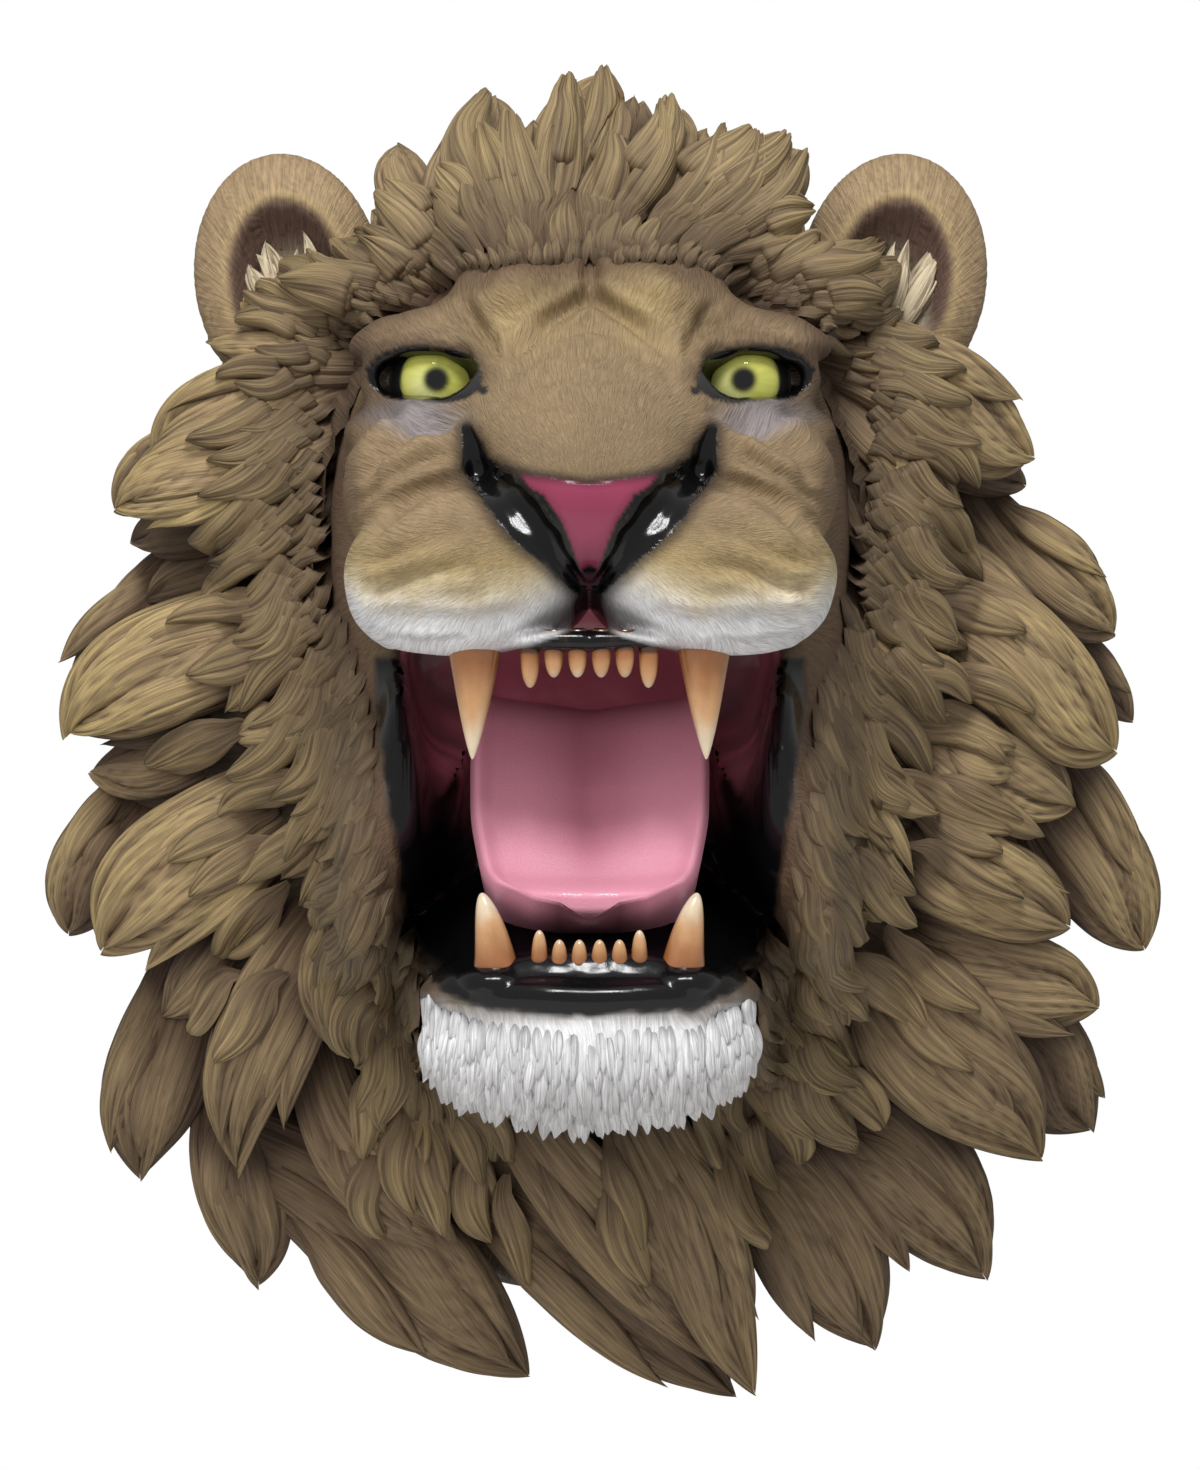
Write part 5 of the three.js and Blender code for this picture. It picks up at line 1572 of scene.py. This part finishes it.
def make_ear(name, side):
    """An ear, combed all round its hollow, and the pale locks that stand in it."""
    pitch = sizes().ear_detail / MM
    points, normals, quads = skin_of(ear_field, *EAR_BOX, pitch)
    x, d, z = points.T
    hollow = ellipsoid(*EAR_HOLLOW, x, d, z)
    inside = smooth(6, 0, hollow)
    over, up = x - EAR_ROOT[0], z - EAR_ROOT[1]
    away = np.arctan2(up, over * 1.3)
    reach = np.hypot(up, over)
    hair = strands(away * 20, reach / 18, 1.0, 0.0, 81, 0.8, 1.6)
    points = points - normals * ((1 - hair) * mix(0.45, 1.2, inside))[:, None]
    p = paints()
    tint = np.repeat((np.array(p.coat) * 1.02)[None], len(points), axis=0)
    tint = blend_colours(tint, p.ochre, 0.55 * smooth(14, 3, hollow) * (1 - inside))
    # darker towards the back of the ear
    tint = blend_colours(tint, np.array(p.wash_and_shade) * 1.4, 0.5 * smooth(176, 140, d))
    tint = blend_colours(tint, EAR_BROWN, smooth(9, 0, hollow) * 0.9)
    middle = np.hypot((x - 188) / 27, (z - 262) / 50)
    tint = blend_colours(tint, np.array(p.cream) * 0.75, inside * smooth(1.15, 0.6, middle) * 0.8)
    # painted shade in the partings of the hair
    tint = blend_colours(tint, p.wash_and_shade, (1 - hair) * 0.35)
    flow = np.stack([away * 60, reach, np.full(len(points), 4.0)], axis=1)
    ones = np.ones(len(points))
    points = points * np.array([side, 1, 1])
    if side < 0:
        quads = quads[:, ::-1]
    values = {"flow": flow, "fur": ones * 0.8, "gloss": ones * 0.05}
    dress_coat(store_mesh(name, points, quads, None, values, {"paint": tint}))
    chance = np.random.default_rng(17 + side)
    pile = MeshPile()
    for i in range(EAR_TUFTS):
        share = (i + chance.uniform(0, 1)) / EAR_TUFTS
        root = np.array([164 + 30 * share, 238 + 12 * share + chance.uniform(-4, 8)])
        lean = mix(-0.15, 0.75, share) + chance.uniform(-0.15, 0.15)
        length = chance.uniform(48, 78)
        tip = root + np.array([math.sin(lean), math.cos(lean)]) * length
        tip[0] = min(tip[0], 224)
        deep = 172 + chance.uniform(-3, 5)
        width, bow = chance.uniform(10, 15), chance.uniform(-0.1, 0.1)
        lock = (side * root[0], root[1], side * tip[0], tip[1], width, bow)
        add_lock(pile, deep + 12, deep - 2, lock, 7000 + i + (side > 0) * 50, (1.05, 0.1, 0.75), 1.3)
    return dress_coat(pile.store(name + "_hair"))


# Eyes, teeth and tongue

# Shades beside the main paints: the painted lit patch, middle and edge of the iris, middle and foot of a
# tooth.
IRIS_LIT, IRIS_MIDDLE, IRIS_EDGE = colour(222, 220, 158), colour(92, 94, 38), colour(132, 132, 60)
TOOTH_MIDDLE, TOOTH_FOOT = colour(196, 150, 104), colour(70, 36, 14)


def make_eye(name, node, side):
    """A glass ball turned a little outward, its iris and pupil painted on."""
    rings, sides = 40, 60
    start = math.asin(EYE["back"])
    lift, turn = rows_by_columns(
        np.linspace(-start, math.pi / 2 - 0.004, rings), np.linspace(0, 2 * math.pi, sides, endpoint=False)
    )
    local = np.stack([np.cos(lift) * np.cos(turn), np.sin(lift), np.cos(lift) * np.sin(turn)], axis=-1)
    local = local * EYE["radius"]
    yaw = math.radians(EYE["turn"]) * side
    look_x = local[..., 0] * math.cos(yaw) + local[..., 1] * math.sin(yaw)
    look_d = -local[..., 0] * math.sin(yaw) + local[..., 1] * math.cos(yaw)
    at = np.array([side * EYE["across"], EYE["depth"], EYE["height"]])
    grid = at + np.stack([look_x, look_d, local[..., 2]], axis=-1)
    # iris and pupil face the viewer
    across = grid[..., 0] - (at[0] - side * 1.0)
    up = grid[..., 2] - at[2] + 0.5
    away = np.hypot(across, up)
    around = np.arctan2(up, across)
    p = paints()
    rays = noise(around * 9, away / 14, 0.2, 91)
    tint = np.broadcast_to(np.array(p.iris), (*away.shape, 3))
    # painted light: a paler patch low on the iris, where light coming through the glass falls
    sheen = np.hypot(across + 6, up + 4)
    tint = blend_colours(tint, IRIS_LIT, 0.55 * smooth(15, 4, sheen))
    tint = tint * (1 + 0.08 * rays)[..., None]
    tint = blend_colours(tint, IRIS_MIDDLE, 0.85 * smooth(10.5, 5.5, away))
    tint = blend_colours(tint, IRIS_EDGE, 0.6 * smooth(18.5, 21.5, away))
    tint = blend_colours(tint, p.lips, smooth(8.6, 4.8, away))
    rim = smooth(21.2, 22.0, away)
    tint = blend_colours(tint, p.lips, rim)
    pile = MeshPile()
    pile.add_grid(grid, {"paint": tint, "shine": 1 - rim})
    material = shared("glass_eye", glass_paint)
    return dress(pile.store(name), material, node)


def tooth_grid(tooth, up, root, rows, sides, dent):
    """Rings of a tooth from its root to its tip, and how far out of the gum each place is."""
    share = 1 - (1 - np.linspace(0, 1, rows)) ** 1.6
    run = share * (tooth["length"] + root) - root
    shown = clamp01(run / tooth["length"])
    half = tooth["width"] / 2 * (1 - tooth["narrowing"] * shown)
    half = half * np.sqrt(np.maximum(1 - shown ** tooth["taper"], 0.0))
    half = np.maximum(half, tooth["width"] * 0.012)
    turn = np.linspace(0, 2 * math.pi, sides, endpoint=False)
    shown, half = shown[:, None], half[:, None]
    flute = 1 - dent * np.exp(-((np.cos(turn - math.pi / 2) - 1) ** 2) / 0.02)[None, :] * (1 - shown)
    x = tooth["x"] + tooth["lean"] * shown**1.5 + np.cos(turn)[None, :] * half * flute
    d = tooth["depth"] + tooth["rake"] * shown**2 + np.sin(turn)[None, :] * half * 0.85 * flute
    z = tooth["z"] + up * run[:, None] + 0 * x
    return np.stack([x, d, z], axis=-1), np.broadcast_to(shown, x.shape)


def tooth_paint(grid, shown, seed):
    p = paints()
    amber, ivory = np.array(p.amber), np.array(p.ivory)
    cloud = noise(grid[..., 0] / 6, grid[..., 1] / 6, grid[..., 2] / 14, seed)
    level = shown + 0.10 * cloud
    tint = np.broadcast_to(amber, (*shown.shape, 3))
    tint = blend_colours(tint, TOOTH_MIDDLE, smooth(0.12, 0.62, level))
    tint = blend_colours(tint, ivory, smooth(0.55, 0.92, level))
    streak = noise(grid[..., 0] / 1.6, grid[..., 1] / 1.6, grid[..., 2] / 22, seed + 3)
    tint = tint * (1 + 0.07 * streak)[..., None]
    return blend_colours(tint, TOOTH_FOOT, smooth(0.09, 0.0, shown) * 0.9)


def tooth_material():
    return shared("lacquered_tooth", lambda: gloss_paint("lacquered_tooth", 0.22, 0.9, 180.0, 0.05, 0.12))


def make_canine(name, fang, side, up):
    tooth = {**fang, "x": side * fang["x"], "lean": side * fang["lean"]}
    grid, shown = tooth_grid(tooth, up, CANINE_ROOT, 46, 36, 0.05)
    pile = MeshPile()
    pile.add_grid(grid, {"paint": tooth_paint(grid, shown, 301 + up)})
    return dress(pile.store(name + "_fang"), tooth_material(), name)


INCISOR_COUNT = 6
INCISORS = {
    "upper_incisors": dict(fang=UPPER_CANINE, margin=9, length=23, below=-3, ahead=14, up=-1),
    "lower_incisors": dict(fang=LOWER_CANINE, margin=6, length=21, below=3, ahead=8, up=1),
}
ROW_SWEEP = 0.0035


def make_incisors(name):
    row = INCISORS[name]
    fang = row["fang"]
    pitch = (2 * fang["x"] - fang["width"] - 2 * row["margin"]) / INCISOR_COUNT
    pile = MeshPile()
    for i in range(INCISOR_COUNT):
        x = (i - (INCISOR_COUNT - 1) / 2) * pitch
        length = row["length"] * (1.25 if i in (0, INCISOR_COUNT - 1) else 1)
        depth = fang["depth"] + row["ahead"] - ROW_SWEEP * x * x
        tooth = {"x": x, "z": fang["z"] - row["below"], "depth": depth, "length": length,
                 "width": pitch * 0.88, "lean": 0, "rake": 0, "narrowing": 0.1, "taper": 4}
        grid, shown = tooth_grid(tooth, row["up"], 4, 24, 22, 0.0)
        seen = clamp01((shown - 0.3) / 0.7)
        pile.add_grid(grid, {"paint": tooth_paint(grid, seen * 0.8, 400 + i)})
    return dress(pile.store(name + "_row"), tooth_material(), name)


TONGUE = {"width": 142, "thick": 20, "dish": 9, "groove": 4, "root": 240, "tip": 364}
# From its root to its tip: share of the way, height over the floor and share of the width.
TONGUE_LINE = (
    (0, 12, 0.86), (0.18, 28, 0.98), (0.4, 22, 1.0), (0.66, 14, 0.98), (0.87, 3, 0.88), (1, -2, 0.68),
)


def make_tongue():
    """The tongue, dished, with a groove down its middle and a lip at its tip."""
    rows, across = 70, 64
    knots = np.array(TONGUE_LINE)
    out = np.linspace(0, 1, rows)
    depth = mix(TONGUE["root"], TONGUE["tip"], out)

    def softened(column):
        values = np.interp(out, knots[:, 0], knots[:, column])
        kernel = np.hanning(15)
        kernel /= kernel.sum()
        padded = np.concatenate([np.full(7, values[0]), values, np.full(7, values[-1])])
        return np.convolve(padded, kernel, "valid")

    height = mouth_floor(depth) + softened(1)
    half = TONGUE["width"] / 2 * softened(2)
    half = half * np.sqrt(np.maximum(1 - np.maximum((out - 0.93) / 0.075, 0) ** 2, 0.05))
    run = unit(np.stack([np.gradient(depth), np.gradient(height)], axis=1))
    share = np.linspace(-1, 1, across)
    edge = np.abs(share)[None, :]
    o = out[:, None]
    dish = TONGUE["dish"] * edge**2.2 + 2.0 * smooth(0.80, 0.93, edge) * smooth(0.0, 0.2, o)
    groove = TONGUE["groove"] * np.exp(-((edge / 0.13) ** 2)) * smooth(0.02, 0.3, o) * smooth(0.88, 0.6, o)
    rounded = 9 * smooth(0.92, 1.0, edge) ** 2
    lip = 4.5 * smooth(0.86, 0.95, o) - 8 * smooth(0.96, 1.0, o)
    back = -8 * smooth(0.06, 0.0, o)
    lobes = 3 * smooth(0.2, 0.0, o) * np.cos(edge * math.pi - 1.6)
    top = TONGUE["thick"] / 2 + dish - groove - rounded + lip + back + lobes
    bottom = np.full(top.shape, -TONGUE["thick"] / 2)
    rise = np.concatenate([top, bottom[:, ::-1][:, 1:-1]], axis=1)
    column = np.concatenate([share, share[::-1][1:-1]])[None, :]
    x = column * half[:, None]
    d = depth[:, None] - run[:, 1:] * rise
    z = height[:, None] + run[:, :1] * rise
    grid = np.stack([x, d, z], axis=-1)
    p = paints()
    pink, mouth = np.array(p.tongue), np.array(p.mouth)
    far = np.abs(column) * np.ones((rows, 1))
    oo = o * np.ones(far.shape)
    tint = np.broadcast_to(pink, (*far.shape, 3))
    # painted shade: darker towards the back, deep in the mouth, and darkest where it meets the throat; it
    # is also mauve down the middle, lighter on the raised lip at its tip and darker at its very end
    for paint, amount in (
        (mouth * 1.5, 0.5 * smooth(0.62, 0.0, far) * smooth(1.0, 0.72, oo)),
        (mouth * 1.2, 0.4 * smooth(0.3, 0.0, oo)),
        (mouth * 0.5, 0.6 * smooth(0.06, 0.0, oo)),
        (pink * 1.12, 0.6 * smooth(0.86, 0.94, oo)),
        (mouth * 0.4, 0.8 * smooth(0.985, 1.0, oo)),
    ):
        tint = blend_colours(tint, paint, amount)
    pile = MeshPile()
    pile.add_grid(grid, {"paint": tint})
    material = shared("satin_tongue", lambda: gloss_paint("satin_tongue", 0.42, 0.25, 700.0, 0.03, 0.08))
    return dress(pile.store("painted_tongue"), material, "tongue")


# Stage

# The camera: its place across, the size of its film, and focal length and film side in pixels.
CAMERA_ACROSS = 0.006
FILM = 36.0
FOCAL_PIXELS, FILM_PIXELS = 3205, 1469
LIT_PLACE = (0, -0.2, 0.0)
# Lights: place, size and power; the room's own makes no highlight.
LIGHTS = {
    "ceiling_left": ((-0.22, -1.5, 1.7), (0.3, 0.5), 15),
    "ceiling_right": ((0.22, -1.5, 1.7), (0.3, 0.5), 15),
    "room_front": ((-0.9, -2.6, 0.9), (1.8, 1.8), 26),
}
ROOM_STRENGTH = 0.42
# The floor: half its width, how far it comes out and goes in, its top and its thickness.
FLOOR_HALF, FLOOR_OUT, FLOOR_IN, FLOOR_TOP, FLOOR_THICK = 0.9, -1.6, 0.5, -0.75, 0.02


def soft_light(name, place, size, power):
    lamp = bpy.data.lights.new(name, "AREA")
    lamp.shape = "RECTANGLE"
    lamp.size, lamp.size_y = size
    lamp.energy = power
    holder = bpy.data.objects.new(name, lamp)
    holder.location = place
    holder.rotation_euler = (Vector(LIT_PLACE) - Vector(place)).to_track_quat("-Z", "Y").to_euler()
    bpy.context.scene.collection.objects.link(holder)
    return holder


def make_stage():
    scene = bpy.context.scene
    lens = bpy.data.cameras.new("photo_camera")
    lens.sensor_width = FILM
    lens.lens = FILM * FOCAL_PIXELS / FILM_PIXELS
    camera = bpy.data.objects.new("photo_camera", lens)
    camera.location = (CAMERA_ACROSS, -sizes().camera_distance, 0.0)
    camera.rotation_euler = (math.radians(90), 0, 0)
    scene.collection.objects.link(camera)
    scene.camera = camera
    world = bpy.data.worlds.new("white_room")
    world.use_nodes = True
    tree = world.node_tree
    room = tree.nodes["Background"]
    room.inputs["Color"].default_value = (1, 1, 1, 1)
    room.inputs["Strength"].default_value = ROOM_STRENGTH
    backdrop = tree.nodes.new("ShaderNodeBackground")
    backdrop.inputs["Color"].default_value = (1, 1, 1, 1)
    seen = tree.nodes.new("ShaderNodeLightPath")
    either = tree.nodes.new("ShaderNodeMixShader")
    tree.links.new(seen.outputs["Is Camera Ray"], either.inputs[0])
    tree.links.new(room.outputs[0], either.inputs[1])
    tree.links.new(backdrop.outputs[0], either.inputs[2])
    tree.links.new(either.outputs[0], tree.nodes["World Output"].inputs[0])
    scene.world = world
    scene.view_settings.view_transform = "Standard"
    lamps = {name: soft_light(name, *light) for name, light in LIGHTS.items()}
    lamps["room_front"].visible_glossy = False
    floor = bpy.data.meshes.new("floor")
    outline = ((-1, FLOOR_OUT), (1, FLOOR_OUT), (1, FLOOR_IN), (-1, FLOOR_IN))
    levels = (FLOOR_TOP - FLOOR_THICK, FLOOR_TOP)
    corners = [(hand * FLOOR_HALF, y, z) for z in levels for hand, y in outline]
    faces = [(0, 3, 2, 1), (4, 5, 6, 7), (0, 1, 5, 4), (1, 2, 6, 5), (2, 3, 7, 6), (3, 0, 4, 7)]
    floor.from_pydata(corners, [], faces)
    slab = bpy.data.objects.new("floor", floor)
    scene.collection.objects.link(slab)
    bench = NodeBench("pale_floor")
    place = bench.node("ShaderNodeTexCoord").outputs["Object"]
    grain = bench.noise(place, 14.0, 4.0)
    pale = bench.mixed(grain, (0.76, 0.75, 0.73), (0.82, 0.81, 0.79))
    bench.link(pale, bench.shader.inputs["Base Color"])
    bench.link(bench.ramp(grain, 0.3, 0.7, 0.6, 0.75), bench.shader.inputs["Roughness"])
    floor.materials.append(bench.material)


# Operators


class LION_OT_stage(bpy.types.Operator):
    """Set up the camera, the soft lights and the pale floor"""

    bl_idname = "lion.stage"
    bl_label = "Stage"

    def execute(self, context):
        make_stage()
        return {"FINISHED"}


class LION_OT_face(bpy.types.Operator):
    """Model and paint the snarling face, the nose, the lips and the lining of the mouth"""

    bl_idname = "lion.face"
    bl_label = "Face"

    def execute(self, context):
        for name in SKIN_PARTS:
            make_skin(name)
        return {"FINISHED"}


class LION_OT_mane(bpy.types.Operator):
    """Carve the locks of the mane, row by row, over their body"""

    bl_idname = "lion.mane"
    bl_label = "Mane"

    def execute(self, context):
        make_mane_body()
        for name in MANE:
            make_mane_row(name)
        return {"FINISHED"}


class LION_OT_fringe(bpy.types.Operator):
    """Lay the flat locks round the face, on the crest and in the hollows of the mane"""

    bl_idname = "lion.fringe"
    bl_label = "Fringe"

    def execute(self, context):
        make_fringe("left_fringe", -1)
        make_fringe("right_fringe", 1)
        make_crest_layers()
        make_undercoat()
        return {"FINISHED"}


class LION_OT_chin(bpy.types.Operator):
    """Lay the fine white locks of the chin"""

    bl_idname = "lion.chin"
    bl_label = "Chin fur"

    def execute(self, context):
        make_chin()
        return {"FINISHED"}


class LION_OT_ears(bpy.types.Operator):
    """Model both ears with the pale hair inside them"""

    bl_idname = "lion.ears"
    bl_label = "Ears"

    def execute(self, context):
        make_ear("left_ear", -1)
        make_ear("right_ear", 1)
        return {"FINISHED"}


class LION_OT_eyes(bpy.types.Operator):
    """Make both glass eyes"""

    bl_idname = "lion.eyes"
    bl_label = "Glass eyes"

    def execute(self, context):
        make_eye("left_glass_eye", "left_eye", -1)
        make_eye("right_glass_eye", "right_eye", 1)
        return {"FINISHED"}


class LION_OT_teeth(bpy.types.Operator):
    """Make the four fangs and both rows of incisors"""

    bl_idname = "lion.teeth"
    bl_label = "Teeth"

    def execute(self, context):
        for label, side in (("left", -1), ("right", 1)):
            make_canine("upper_" + label + "_canine", UPPER_CANINE, side, -1)
            make_canine("lower_" + label + "_canine", LOWER_CANINE, side, 1)
        for name in INCISORS:
            make_incisors(name)
        return {"FINISHED"}


class LION_OT_tongue(bpy.types.Operator):
    """Model the tongue on the floor of the mouth"""

    bl_idname = "lion.tongue"
    bl_label = "Tongue"

    def execute(self, context):
        make_tongue()
        return {"FINISHED"}


OPERATORS = (
    LION_OT_stage,
    LION_OT_mane,
    LION_OT_fringe,
    LION_OT_face,
    LION_OT_chin,
    LION_OT_ears,
    LION_OT_eyes,
    LION_OT_teeth,
    LION_OT_tongue,
)


class LION_PT_panel(bpy.types.Panel):
    """The mask's sizes, paints and steps"""

    bl_idname = "LION_PT_panel"
    bl_label = "Lion Head"
    bl_space_type = "VIEW_3D"
    bl_region_type = "UI"
    bl_category = "Lion Head"

    def draw(self, context):
        for group in (context.scene.lion_sizes, context.scene.lion_paints):
            column = self.layout.column()
            for name in group.__annotations__:
                column.prop(group, name)
        for operator in OPERATORS:
            self.layout.operator(operator.bl_idname)


CLASSES = (LionSizes, LionPaints, *OPERATORS, LION_PT_panel)


def register():
    for item in CLASSES:
        bpy.utils.register_class(item)
    bpy.types.Scene.lion_sizes = bpy.props.PointerProperty(type=LionSizes)
    bpy.types.Scene.lion_paints = bpy.props.PointerProperty(type=LionPaints)


def unregister():
    del bpy.types.Scene.lion_paints
    del bpy.types.Scene.lion_sizes
    for item in reversed(CLASSES):
        bpy.utils.unregister_class(item)


def main():
    register()
    for operator in OPERATORS:
        name = operator.bl_idname.split(".")[1]
        getattr(bpy.ops.lion, name)()


if __name__ == "__main__":
    main()
